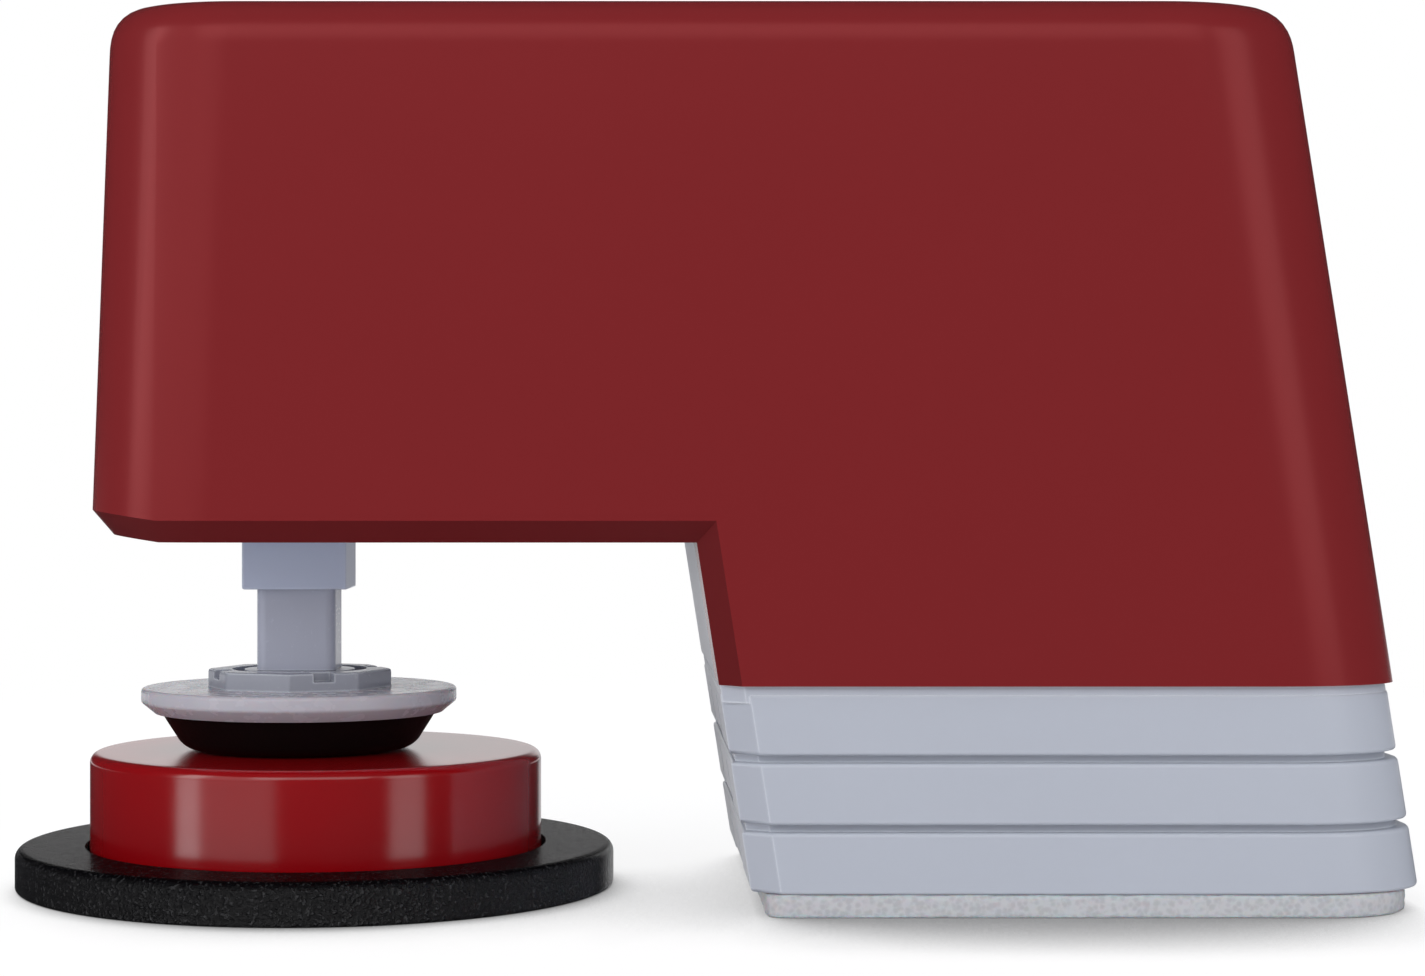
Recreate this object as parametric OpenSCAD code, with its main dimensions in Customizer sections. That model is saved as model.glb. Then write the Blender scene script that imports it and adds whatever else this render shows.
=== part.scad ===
// Motorised button presser: an L-shaped case stands on stacked spacers and an adhesive foam pad,
// and a rack-driven plunger under its arm presses a round push button.
// The origin is the centre of the foam pad's sticky face. X runs from the push button to the leg, Z is up.

/* [Push button] */
// Outer diameter of the button's base ring
base_d = 33.5; // [31.5:0.5:36]
// Height of the base ring
base_h = 2.3; // [2.2:0.1:3]
// Thickness of the base's floor
base_floor = 0.4; // [0.3:0.05:0.5]
// Rounding of the base ring's upper edge
base_round = 0.5; // [0.2:0.1:0.8]
// Diameter of the round cap
cap_d = 25.3; // [23:0.1:26.5]
// Height of the cap above the base ring
cap_proud = 5.2; // [4.8:0.1:6.5]
// Rounding of the cap's upper edge
cap_round = 0.5; // [0.2:0.1:0.8]
// Wall of the cap
cap_wall = 1.2; // [0.9:0.1:1.5]
// Gap between the cap and the base ring
cap_gap = 0.3; // [0.2:0.05:0.5]
// Depth of the cap's edge below the top of the ring
cap_seat = 0.3; // [0.1:0.05:0.35]
// Travel of the cap and of the plunger
cap_travel = 1.5; // [0.8:0.1:1.5]
// Diameter of the cap's guide post
post_d = 4.8; // [4:0.1:5.6]
// Wire of the return spring
spring_wire = 0.5; // [0.35:0.05:0.6]
// Turns of the return spring
spring_turns = 3; // [2:1:5]
// Thickness of the button's circuit board
button_board_t = 0.6; // [0.4:0.1:0.8]

/* [Plunger] */
// Distance from the plunger's axis to the button's axis
plunger_offset = 1; // [0:0.1:2]
// Width of the square stem
stem_w = 4.4; // [4:0.1:4.9]
// Rounding of the stem's edges
stem_round = 0.6; // [0.2:0.1:1]
// Width of the square guide block
guide_w = 5.8; // [5.7:0.1:6.8]
// Length of the guide block below the arm
guide_drop = 2.8; // [1.5:0.1:3.4]
// Width of the collar nut across its flats
collar_w = 9.6; // [8.5:0.1:12]
// Height of the collar nut
collar_h = 1; // [0.8:0.1:1.3]
// Diameter of the pressing disc
disc_d = 17.7; // [16.5:0.1:19.5]
// Height of the pressing disc
disc_h = 1.4; // [1.2:0.1:1.8]
// Diameter of the bumper where it meets the disc
bumper_d = 14.8; // [13:0.1:16]
// Diameter of the bumper where it meets the cap
bumper_tip_d = 12.2; // [10:0.1:12.8]
// Height of the bumper
bumper_h = 2.1; // [1.8:0.1:2.5]
// Diameter of the stud below the stem
stud_d = 3; // [2.4:0.1:3.6]

/* [Case] */
// Depth of the case, front to back
case_depth = 27.6; // [27:0.1:30]
// Depth of the front cover
cover_depth = 6.5; // [5.8:0.1:6.8]
// Height of the case's top above the surface
case_top = 47.7; // [47.4:0.1:50]
// Height of the arm's underside above the surface
arm_bottom = 19.4; // [18.8:0.1:20]
// Distance from the plunger's axis to the arm's free end
arm_end = 10; // [9.9:0.1:12]
// Lean of the arm's free end, in degrees
end_lean = 2.1; // [0:0.1:3]
// Width of the leg
leg_w = 35.9; // [35.6:0.1:38]
// Lean of the leg, in degrees
leg_lean = 8.9; // [7:0.1:10]
// Distance from the centre of the foam pad to the button's axis
reach = 41.7; // [40.6:0.1:42.6]
// Wall of the case
wall = 1.6; // [1.3:0.1:1.8]
// Thickness of the front and rear walls
face_wall = 1.8; // [1.6:0.1:2]
// Rounding of the upright edges at the front corners
front_round = 5; // [3:0.1:5.6]
// Rounding of the upright edges at the rear corners
rear_round = 2; // [1:0.1:2.4]
// Rounding of the upper front and rear edges
top_round = 2.5; // [1.2:0.1:3]
// Chamfer of the front edges that face the button
edge_cut = 1.15; // [0.6:0.05:1.3]
// Chamfer along the free lower edge of the arm
end_cut = 1.4; // [0.6:0.1:1.8]
// Cut on the two upright corners of a spacer that face the button
corner_cut = 1.3; // [0.8:0.1:1.6]
// Gap at the seam between the cover and the housing
seam = 0.12; // [0.05:0.01:0.2]
// Clearance between pieces that are fitted into each other
fit_gap = 0.1; // [0.05:0.01:0.15]
// Clearance between pieces that slide or turn on each other
slide_gap = 0.08; // [0.05:0.01:0.1]

/* [Spacers and pad] */
// Distance from a spacer's front, rear and outer sides to the case's sides above it
spacer_inset = 0.3; // [0:0.05:0.5]
// Height of one spacer's side
spacer_h = 3.2; // [3:0.1:3.6]
// Height of the groove above each spacer
groove_h = 0.4; // [0.3:0.05:0.5]
// Depth of the groove above each spacer
groove_depth = 0.5; // [0.3:0.05:0.8]
// Depth of the groove right under the case
seat_depth = 0.2; // [0.15:0.05:0.5]
// Height of a spacer's tongue
tongue_h = 1; // [0.8:0.1:1.1]
// Distance from the tongue to the spacer's side
tongue_inset = 4.5; // [4:0.1:6]
// Thickness of the foam pad
foam_h = 1.2; // [0.8:0.1:1.6]
// Distance from the foam pad's ends to the spacer's ends
foam_inset = 0.7; // [0.4:0.1:1.5]
// Rounding of the foam pad's two corners that face the button
foam_round = 1; // [0.5:0.1:2]
// Width of the snap tab on the side of a spacer
tab_w = 9; // [6:0.5:12]

/* [Gears] */
// Module of the gears
gear_module = 0.5; // [0.48:0.01:0.5]
// Teeth of each small gear
pinion_teeth = 12; // [12:1:13]
// Room above and below the large gears for the frame and its pillars
wheel_room = 4; // [3.8:0.1:5]
// Thickness of the large gears
wheel_t = 1.6; // [1.2:0.1:1.7]
// Diameter of the gear axles
axle_d = 1.5; // [1.2:0.1:1.8]
// Play between meshing teeth
tooth_play = 0.06; // [0.04:0.01:0.08]
// Thickness of the gear frame's plates
plate_t = 1.2; // [1:0.1:1.4]

/* [Motor and power] */
// Gap between the motor's cradle and the middle pinion
motor_side_gap = 0.6; // [0.5:0.05:2]
// Depth of each flat on the motor can
flat_cut = 1; // [0.5:0.1:1.5]
// Gap between the motor can and the circuit board
motor_gap = 0.55; // [0.4:0.05:2]
// Diameter of the battery
battery_d = 14.5; // [13:0.1:14.6]
// Room between the battery's bay and the inside of the case's top
bay_head = 4.2; // [3.6:0.1:7]
// Thickness of the circuit board
board_t = 1; // [0.8:0.1:1.1]
// Diameter of the pairing button
pair_d = 3.2; // [2.4:0.1:4]
// Travel of the pairing button
pair_travel = 0.4; // [0.2:0.05:0.45]
// Thickness of the battery door
door_t = 1.3; // [1.1:0.05:1.35]

/* [Hidden] */

fine = 96;
small = 32;
far = 200;
sliver = 0.05;
thin_edge = 0.3;

// Heights of the stack under the leg
spacer_pitch = spacer_h + groove_h;
spacer_count = 3;
case_bottom = foam_h + spacer_count * spacer_pitch;
tongue_pocket = tongue_h + fit_gap;
leg_floor = wall + tongue_pocket;

// Case planes, from front to back
half_depth = case_depth / 2;
front_inner = -half_depth + face_wall;
split = -half_depth + cover_depth;
housing_front = split + seam;
rear_inner = half_depth - face_wall;
lip_h = 1.6;
lip_t = 0.8;

// Push button heights
button_x = -reach;
cap_top = base_h + cap_proud;
cap_r = cap_d / 2;
base_bore = cap_r + cap_gap;
cap_edge = base_h - cap_seat;
cap_inner_r = cap_r - cap_wall;
cap_ceiling = cap_top - cap_wall;
post_r = post_d / 2;
guide_bore = post_r + slide_gap;
clip_t = 0.5;
clip_reach = 0.6;
clip_bite = 0.5;
clip_top = base_floor + cap_travel + clip_t;
clip_pocket_top = clip_top + sliver;
clip_pocket_r = post_r + clip_reach + 0.2;
tube_r = clip_pocket_r + 0.6;
tube_top = cap_ceiling - cap_travel - fit_gap;
board_rim = 0.25;
board_top = base_floor + button_board_t;
pill_r = 1.3;
pill_h = 0.6;
pill_bottom = board_top + cap_travel + sliver;
pill_place = (tube_r + cap_inner_r) / 2 + 1.6;
spring_r = tube_r + spring_wire / 2 + 0.35;

// Plunger heights, from the cap upward
stem_x = button_x - plunger_offset;
bumper_bottom = cap_top + sliver;
disc_bottom = bumper_bottom + bumper_h;
disc_top = disc_bottom + disc_h;
collar_top = disc_top + collar_h;
stem_half = stem_w / 2;
stud_r = stud_d / 2;
plug_r = stud_r + 1;
plug_h = 0.5;

// Arm and leg sides: the lowest spacer's underside is centred over the foam pad
arm_left = stem_x - arm_end;
leg_half = leg_w / 2;
leg_shift = foam_h * tan(leg_lean) + spacer_inset / cos(leg_lean) / 2;
arm_floor_top = arm_bottom + wall;
inner_top = case_top - wall;
guide_hole = guide_w / 2 + fit_gap / 2;
guide_bore_half = stem_half + slide_gap;
flange_half = guide_w / 2 + 0.8;
flange_h = 1.2;
guide_top = arm_floor_top + flange_h + 1.8;

// Battery bay, in the leg's own leaning frame
bay_right = leg_half * cos(leg_lean) - wall - 1.4;
battery_x = bay_right - battery_d / 2;
battery_y = rear_inner - 0.6 - battery_d / 2;
contact_t = 0.4;
contact_rise = 0.5;
contact_half = 4;
contact_front = 3;
contact_back = 1;
plus_tip_r = 1.6;
plus_root_r = 2.6;
minus_tip_r = 2;
minus_root_r = 3.4;
bay_floor = (case_bottom + leg_floor) / cos(leg_lean) + 0.8;
battery_bottom = bay_floor + contact_t + contact_rise;
bay_top = inner_top / cos(leg_lean) - bay_head;
battery_top = bay_top - contact_t - contact_rise;
battery_len = battery_top - battery_bottom;
terminal_h = 0.8;
terminal_r = 2.4;
bay_wall = 1;
door_left = battery_x - battery_d / 2 - 1;
door_right = bay_right + 0.9;
door_bottom = bay_floor - 0.8;
door_top = bay_top - 0.2;
door_gap = 0.15;
door_ledge = 0.8;
door_seat = half_depth - door_t;
hinge_r = door_t / 2;
hinge_y = half_depth - hinge_r;
hinge_z = door_bottom + hinge_r;
pin_r = 0.35;
pin_hold = 0.9;

// Gear train, on one level line through the middle of the arm
gear_z = (arm_floor_top + inner_top) / 2;
pressure_angle = 25;
tooth_pitch = PI * gear_module;
pinion_r = gear_module * pinion_teeth / 2;
pinion_tip = pinion_r + gear_module;
rack_x = stem_x + stem_half - gear_module;
// The large gears and the motor fill the room above and below, and the room up to the battery bay
bay_gap = 0.3;
high_room = (inner_top - arm_floor_top) / 2 - wheel_room - gear_module;
long_room = (bay_side(inner_top) - bay_gap - rack_x - pinion_r + pinion_tip + motor_side_gap) / 3 - pinion_r;
wheel_teeth = floor(2 * min(high_room, long_room) / gear_module);
wheel_r = gear_module * wheel_teeth / 2;
wheel_tip = wheel_r + gear_module;
tip_gap = 0.25 * gear_module;
output_x = rack_x + pinion_r;
middle_x = output_x + pinion_r + wheel_r;
motor_x = middle_x + pinion_r + wheel_r;
axle_r = axle_d / 2;
hub_r = axle_r + 0.75;
axle_fit = 0.02;

// Circuit board behind the gears
board_rear_gap = 1.5;
board_back = rear_inner - board_rear_gap;
board_front = board_back - board_t;

// Depth of each layer of the gear train, counted forward from the stem
layer_gap = 0.6;
stem_gap = 1.4;
plate_gap = 0.8;
motor_clear = 0.75;
output_wheel_y = -stem_half - stem_gap - wheel_t;
middle_wheel_y = output_wheel_y - layer_gap - wheel_t;
plate_back = middle_wheel_y - plate_gap;
plate_front = plate_back - plate_t;
motor_front = middle_wheel_y + wheel_t + motor_clear;
motor_back = board_front - motor_gap;
frame_y = guide_w / 2 + 0.7;
frame_back = frame_y + plate_t + 0.3;
screw_seat = frame_back + 0.1;
frame_left = arm_side(inner_top) + wall + 0.5;
hub_end = frame_y - sliver;
cradle_t = 0.9;
motor_half = pinion_r + wheel_r - pinion_tip - cradle_t - motor_side_gap;
motor_flat = motor_half - flat_cut;
shaft_r = 0.75;
shaft_depth = 3;
terminal_w = 1.4;
terminal_t = 0.3;
terminal_place = 3;

// Pillars of the gear frame stand clear of the large gears
pillar_r = 1.6;
pillar_mid = (output_x + middle_x) / 2;
pillar_rise = sqrt(pow(wheel_tip + pillar_r + 0.5, 2) - pow(middle_x - pillar_mid, 2));
pillar_side = middle_x + (wheel_tip + pillar_r + 0.6) * cos(43);
pillar_side_rise = (wheel_tip + pillar_r + 0.6) * sin(43);
pillars = [
    [pillar_mid, gear_z - pillar_rise],
    [pillar_mid, gear_z + pillar_rise],
    [pillar_side, gear_z - pillar_side_rise],
    [pillar_side, gear_z + pillar_side_rise]
];
frame_screw_r = 0.6;
frame_head_r = 1.1;
frame_head_h = 0.7;
frame_screw_len = 4;
frame_slot_w = 0.24;
frame_slot_len = 1.2;
slot_depth = 0.4;

// Screws that hold the cover to the housing
screw_r = 0.8;
head_r = 1.4;
head_h = 1;
slot_w = 0.3;
slot_len = 1.6;
thread_fit = 0.02;
boss_r = screw_r + 0.9;
tube_wide = head_r + 0.85;
screw_tip = front_inner + 0.6;
top_boss_z = inner_top - boss_r - 1.2;
low_boss_z = guide_top + tube_wide + 0.3;
screw_places = [
    [arm_left + wall + boss_r + 1.2, low_boss_z],
    [stem_x - stem_half - boss_r - 1.15, top_boss_z],
    [leg_left(case_bottom + leg_floor) + wall + tube_wide + 0.5, case_bottom + leg_floor + tube_wide + 1],
    [motor_x + motor_half - 1.3, inner_top - tube_wide - 0.2]
];

// Upper guide of the stem
upper_guide_z = gear_z + 5.2;
upper_guide_h = 2.4;
stem_top = upper_guide_z + upper_guide_h + 1;

// Limit switch beside the stem, under the upper screw boss, its lever under the upper guide
limit_w = 2.8;
limit_len = 6;
limit_gap = 1.35;
lever_half = 0.6;
limit_x = stem_x - stem_half - 1 - limit_w;
limit_top = min(top_boss_z - boss_r - limit_gap, upper_guide_z + limit_len / 2 - lever_half - 1);
limit_z = limit_top - limit_len;

// Edges of the circuit board and what it carries
board_left = arm_left + wall + 1.4;
board_right = motor_x + motor_half - 0.6;
board_bottom = arm_floor_top + 1.2;
board_head = inner_top - 0.8;
radio_t = 1;
radio_w = 11;
radio_h = 13;
radio_left = output_x - 6;
radio_bottom = gear_z - 7;
switch_t = 0.5;
pair_flange = 0.5;
pair_x = motor_x - 1;
pair_z = gear_z + 2.5;
pair_proud = 0.6;
pair_inner = board_back + switch_t + sliver + pair_travel;
pipe_gap = 6;
pipe_x = pair_x - pipe_gap;
pipe_r = 0.9;

// Colours
case_red = [0.48, 0.13, 0.15];
cap_red = [0.62, 0.09, 0.12];
grey_plastic = [0.66, 0.68, 0.74];
dark_plastic = [0.08, 0.08, 0.09];
pale_plastic = [0.85, 0.85, 0.82];
steel = [0.72, 0.73, 0.75];
board_green = [0.1, 0.36, 0.22];

// X of the leg's left and right sides at a height
function leg_left(z) = leg_shift - leg_half - z * tan(leg_lean);
function leg_right(z) = leg_shift + leg_half - z * tan(leg_lean);
// X of the battery bay's inner wall at a height
function bay_side(z) = leg_shift + (door_left - bay_wall) / cos(leg_lean) - z * tan(leg_lean);
// X of the arm's free end at a height
function arm_side(z) = arm_left + (z - arm_bottom) * tan(end_lean);

// Points of an outline whose corners are rounded, each by its own radius
function unit(v) = v / norm(v);
function turn(a) = a > 180 ? a - 360 : (a < -180 ? a + 360 : a);
function corner(before, at, after, r, steps) =
    let (
        u = unit(before - at),
        v = unit(after - at),
        half = acos(u * v) / 2,
        centre = at + unit(u + v) * r / sin(half),
        first = at + u * r / tan(half) - centre,
        last = at + v * r / tan(half) - centre,
        start = atan2(first[1], first[0]),
        sweep = turn(atan2(last[1], last[0]) - start)
    )
    [for (i = [0:steps]) centre + r * [cos(start + sweep * i / steps), sin(start + sweep * i / steps)]];
function rounded(points, radii, steps = 8) =
    let (n = len(points))
    [for (i = [0:n - 1]) each radii[i] < sliver
        ? [points[i]]
        : corner(points[(i + n - 1) % n], points[i], points[(i + 1) % n], radii[i], steps)];

// A prism along the Y axis from an outline in X and Z
module along_y(y0, y1) {
    translate([0, y1, 0])
        rotate([90, 0, 0])
            linear_extrude(height = y1 - y0)
                children();
}

// A round bar along the Y axis
module bar_y(x, z, r, y0, y1, facets = small) {
    translate([x, y1, z])
        rotate([90, 0, 0])
            cylinder(r = r, h = y1 - y0, $fn = facets);
}

// A round bar along the X axis
module bar_x(y, z, r, x0, x1) {
    translate([x0, y, z])
        rotate([0, 90, 0])
            cylinder(r = r, h = x1 - x0, $fn = small);
}

// A box given by its two opposite corners
module block(low, high) {
    translate(low)
        cube(high - low);
}

// The leg's leaning frame
module leaning() {
    translate([leg_shift, 0, 0])
        rotate([0, -leg_lean, 0])
            children();
}

// A leaning prism with the plan of the leg, drawn in by an inset
module leg_prism(inset, left_edge, left_cut) {
    right_edge = leg_half * cos(leg_lean) - inset;
    y = half_depth - inset;
    leaning()
        translate([0, 0, -far / 2])
            linear_extrude(height = far)
                polygon(rounded(
                    [
                        [left_edge, -y + left_cut],
                        [left_edge + left_cut, -y],
                        [right_edge, -y],
                        [right_edge, y],
                        [left_edge + left_cut, y],
                        [left_edge, y - left_cut]
                    ],
                    [0, 0, max(front_round - inset, thin_edge), max(rear_round - inset, thin_edge), 0, 0]
                ));
}

// The arm's free end with its rounded upright edges
module end_prism(inset) {
    y = half_depth - inset;
    translate([arm_left, 0, arm_bottom])
        rotate([0, end_lean, 0])
            translate([inset, 0, -far / 2])
                linear_extrude(height = far)
                    polygon(rounded(
                        [[0, -y], [far, -y], [far, y], [0, y]],
                        [max(front_round - inset, thin_edge), 0, 0, max(rear_round - inset, thin_edge)]
                    ));
}

// Outline of the case seen from the front, drawn in by an inset
module case_outline(inset, floor_inset) {
    side = inset / cos(leg_lean);
    end_side = inset / cos(end_lean);
    top = case_top - inset;
    under = arm_bottom + inset;
    low = case_bottom + floor_inset;
    end_bevel = max(end_cut - inset * (2 - sqrt(2)), thin_edge);
    polygon(rounded(
        [
            [arm_side(under) + end_side + end_bevel, under],
            [arm_side(under + end_bevel) + end_side, under + end_bevel],
            [arm_side(top) + end_side, top],
            [leg_right(top) - side, top],
            [leg_right(low) - side, low],
            [leg_left(low) + side, low],
            [leg_left(under) + side, under]
        ],
        [
            0,
            0,
            max(top_round - inset, thin_edge),
            max(top_round - inset, thin_edge),
            thin_edge,
            thin_edge,
            thin_edge
        ]
    ));
}

// Solid block of the case between two depths, drawn in by an inset
module case_block(inset, floor_inset, y0, y1) {
    top = case_top - inset;
    y = half_depth - inset;
    intersection() {
        along_y(y0, y1)
            case_outline(inset, floor_inset);
        leg_prism(inset, -far, 1);
        end_prism(inset);
        translate([-far / 2, 0, 0])
            rotate([90, 0, 90])
                linear_extrude(height = far)
                    polygon(rounded(
                        [[-y, 0], [y, 0], [y, top], [-y, top]],
                        [0, 0, max(top_round - inset, thin_edge), max(top_round - inset, thin_edge)]
                    ));
    }
}

// Chamfers the front edges of the case that face the button
module edge_cuts() {
    hull() {
        along_y(-half_depth - 1 - sliver, -half_depth - 1)
            button_side(edge_cut + 1);
        along_y(-half_depth + edge_cut, -half_depth + edge_cut + sliver)
            button_side(0);
    }
}

// Section of the space over the button, grown into the arm and the leg
module button_side(grow) {
    top = arm_bottom + grow;
    side = grow / cos(leg_lean);
    polygon([
        [-far, -far],
        [leg_left(-far) + side, -far],
        [leg_left(top) + side, top],
        [-far, top]
    ]);
}

// A leaning tongue, or the pocket that takes it
module tongue(z0, z1, grow) {
    edge = leg_half * cos(leg_lean) - tongue_inset + grow;
    y = half_depth - tongue_inset + grow;
    intersection() {
        leaning()
            translate([0, 0, -far / 2])
                linear_extrude(height = far)
                    polygon(rounded([[-edge, -y], [edge, -y], [edge, y], [-edge, y]], [1.5, 1.5, 1.5, 1.5]));
        block([-far, -far, z0], [far, far, z1]);
    }
}

module tongue_cut() {
    tongue(case_bottom - 1, case_bottom + tongue_pocket, fit_gap);
}

module guide_opening() {
    block(
        [stem_x - guide_hole, -guide_hole, arm_bottom - 1],
        [stem_x + guide_hole, guide_hole, arm_floor_top + 1]
    );
}

module front_cover() {
    color(case_red)
    difference() {
        union() {
            difference() {
                case_block(0, 0, -half_depth, split);
                case_block(wall, leg_floor, front_inner, split + 1);
            }
            intersection() {
                case_block(wall / 2, leg_floor / 2, -half_depth, split);
                for (p = screw_places)
                    bar_y(p[0], p[1], boss_r, front_inner - 0.5, split);
            }
        }
        edge_cuts();
        tongue_cut();
        for (p = screw_places)
            bar_y(p[0], p[1], screw_r + thread_fit, screw_tip - 0.3, split + 1);
    }
}

module rear_housing() {
    color(grey_plastic)
    difference() {
        union() {
            difference() {
                case_block(0, 0, housing_front, half_depth);
                case_block(wall, leg_floor, housing_front - 1, rear_inner);
            }
            housing_lip();
            intersection() {
                case_block(wall / 2, leg_floor / 2, housing_front, half_depth);
                union() {
                    for (p = screw_places) {
                        bar_y(p[0], p[1], boss_r, housing_front, rear_inner + 0.5);
                        bar_y(p[0], p[1], tube_wide, screw_seat, rear_inner + 0.5);
                    }
                    battery_bay();
                }
            }
        }
        tongue_cut();
        guide_opening();
        for (p = screw_places) {
            bar_y(p[0], p[1], screw_r + fit_gap / 2, housing_front - 2, half_depth);
            bar_y(p[0], p[1], head_r + fit_gap, screw_seat + 0.5, half_depth + 1);
        }
        bar_y(pair_x, pair_z, pair_d / 2 + fit_gap, rear_inner - 1, half_depth + 1);
        bar_y(pipe_x, pair_z, pipe_r + fit_gap / 2, rear_inner - 1, half_depth + 1);
        leaning()
            door_opening();
    }
}

// Lip of the housing that locates the cover
module housing_lip() {
    outer = fit_gap;
    inner = fit_gap + lip_t;
    difference() {
        case_block(wall + outer, leg_floor + outer, split - lip_h, housing_front + 1);
        case_block(wall + inner, leg_floor + inner, split - lip_h - 1, housing_front + 2);
        for (p = screw_places)
            bar_y(p[0], p[1], boss_r + fit_gap, split - lip_h - 1, split + fit_gap / 2);
    }
    intersection() {
        case_block(wall, leg_floor, housing_front, housing_front + 1);
        difference() {
            case_block(wall - 0.1, leg_floor - 0.1, housing_front, housing_front + 1);
            case_block(wall + inner, leg_floor + inner, housing_front - 1, housing_front + 2);
        }
    }
}

// Shelves and partition that hold the battery
module battery_bay() {
    left = door_left - bay_wall;
    leaning() {
        block([left, battery_y, bay_floor - bay_wall], [bay_right + 3, rear_inner + 0.5, bay_floor]);
        block([left, battery_y, bay_top], [bay_right + 3, rear_inner + 0.5, bay_top + bay_wall]);
        block([left, battery_y, bay_floor - bay_wall], [door_left, rear_inner + 0.5, bay_top + bay_wall]);
    }
}

// The door's opening and its seat, in the leaning frame
module door_opening() {
    block(
        [battery_x - battery_d / 2 - 0.2, rear_inner - 1, bay_floor + door_ledge],
        [bay_right + 0.2, half_depth + 1, bay_top - door_ledge]
    );
    block(
        [door_left - door_gap, door_seat - sliver, door_bottom - door_gap],
        [door_right + door_gap, half_depth + 1, door_top + door_gap]
    );
    bar_x(hinge_y, hinge_z, pin_r + axle_fit, door_left - pin_hold - 0.1, door_right + pin_hold + 0.1);
}

module battery_door() {
    color(grey_plastic)
    leaning()
    difference() {
        union() {
            block([door_left, door_seat, hinge_z], [door_right, half_depth, door_top]);
            bar_x(hinge_y, hinge_z, hinge_r, door_left, door_right);
            block(
                [battery_x - 2, door_seat - 0.7, bay_top - door_ledge - 0.9],
                [battery_x + 2, door_seat + 0.1, bay_top - door_ledge - 0.15]
            );
        }
        bar_x(hinge_y, hinge_z, pin_r + slide_gap / 2, door_left - 1, door_right + 1);
        for (i = [0:3])
            block(
                [battery_x - 3, half_depth - 0.3, door_top - 2 - i],
                [battery_x + 3, half_depth + 1, door_top - 1.6 - i]
            );
    }
}

module door_pin() {
    color(steel)
    leaning()
        bar_x(hinge_y, hinge_z, pin_r, door_left - pin_hold, door_right + pin_hold);
}

module cover_screws() {
    color(steel)
    for (p = screw_places)
        difference() {
            union() {
                bar_y(p[0], p[1], screw_r, screw_tip, screw_seat + 0.6);
                bar_y(p[0], p[1], head_r, screw_seat + 0.5, screw_seat + 0.5 + head_h);
            }
            cross_slot(p, screw_seat + head_h);
        }
}

// Cross recess in a screw's head, cut from the rear
module cross_slot(p, y) {
    w = slot_w / 2;
    arm = slot_len / 2;
    block([p[0] - w, y, p[1] - arm], [p[0] + w, y + 1, p[1] + arm]);
    block([p[0] - arm, y, p[1] - w], [p[0] + arm, y + 1, p[1] + w]);
}

module pairing_button() {
    color(dark_plastic) {
        bar_y(pair_x, pair_z, pair_d / 2, pair_inner, half_depth + pair_proud);
        bar_y(pair_x, pair_z, pair_d / 2 + 0.7, pair_inner, pair_inner + pair_flange);
    }
}

module pairing_switch() {
    color(steel)
        block(
            [pair_x - 1.5, board_back, pair_z - 1.5],
            [pair_x + 1.5, board_back + switch_t, pair_z + 1.5]
        );
}

module light_pipe() {
    color([0.9, 0.93, 0.95])
        bar_y(pipe_x, pair_z, pipe_r, board_back, half_depth);
}

// Outline of the space in a square guide, with room for the stem to slide
module square_hole(z0, z1) {
    block([stem_x - guide_bore_half, -guide_bore_half, z0], [stem_x + guide_bore_half, guide_bore_half, z1]);
}

module guide_block() {
    color(grey_plastic)
    difference() {
        union() {
            block(
                [stem_x - guide_w / 2, -guide_w / 2, arm_bottom - guide_drop],
                [stem_x + guide_w / 2, guide_w / 2, guide_top]
            );
            block(
                [stem_x - flange_half, -flange_half, arm_floor_top],
                [stem_x + flange_half, flange_half, arm_floor_top + flange_h]
            );
        }
        square_hole(0, case_top);
    }
}

// Outline of one gap between two rack teeth
module rack_gap() {
    half = (tooth_pitch / 2 + tooth_play) / 2;
    root = gear_module + tip_gap;
    slope = tan(pressure_angle);
    polygon([
        [-root, -half + root * slope],
        [gear_module + 1, -half - (gear_module + 1) * slope],
        [gear_module + 1, half + (gear_module + 1) * slope],
        [-root, half - root * slope]
    ]);
}

module plunger_stem() {
    teeth = 5;
    color(grey_plastic)
    difference() {
        union() {
            translate([stem_x, 0, collar_top])
                linear_extrude(height = stem_top - collar_top)
                    polygon(rounded(
                        [
                            [-stem_half, -stem_half],
                            [stem_half, -stem_half],
                            [stem_half, stem_half],
                            [-stem_half, stem_half]
                        ],
                        [stem_round, stem_round, stem_round, stem_round],
                        6
                    ));
            translate([stem_x, 0, disc_bottom + plug_h])
                cylinder(r = stud_r, h = collar_top - disc_bottom - plug_h + 0.5, $fn = small);
        }
        along_y(-stem_w, stem_w)
            for (i = [-teeth:teeth])
                translate([rack_x, gear_z + i * tooth_pitch])
                    rack_gap();
    }
}

module collar_nut() {
    color(grey_plastic)
    translate([stem_x, 0, disc_top])
        difference() {
            cylinder(d = collar_w / cos(22.5), h = collar_h, $fn = 8);
            translate([0, 0, -1])
                cylinder(r = stud_r + fit_gap, h = collar_h + 2, $fn = small);
            for (a = [0:90:270])
                rotate([0, 0, a + 22.5])
                    translate([collar_w / 2 - 0.9, -0.6, collar_h / 2])
                        cube([2, 1.2, collar_h]);
        }
}

module pressing_disc() {
    edge = 0.35;
    color([0.86, 0.86, 0.9])
    translate([stem_x, 0, disc_bottom])
        rotate_extrude($fn = fine)
            difference() {
                polygon(rounded(
                    [
                        [stud_r + fit_gap, 0],
                        [disc_d / 2, 0],
                        [disc_d / 2, disc_h],
                        [stud_r + fit_gap, disc_h]
                    ],
                    [0, disc_h * 0.4, edge, 0],
                    5
                ));
                translate([0, -1])
                    square([plug_r + fit_gap, 1 + plug_h]);
            }
}

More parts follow.
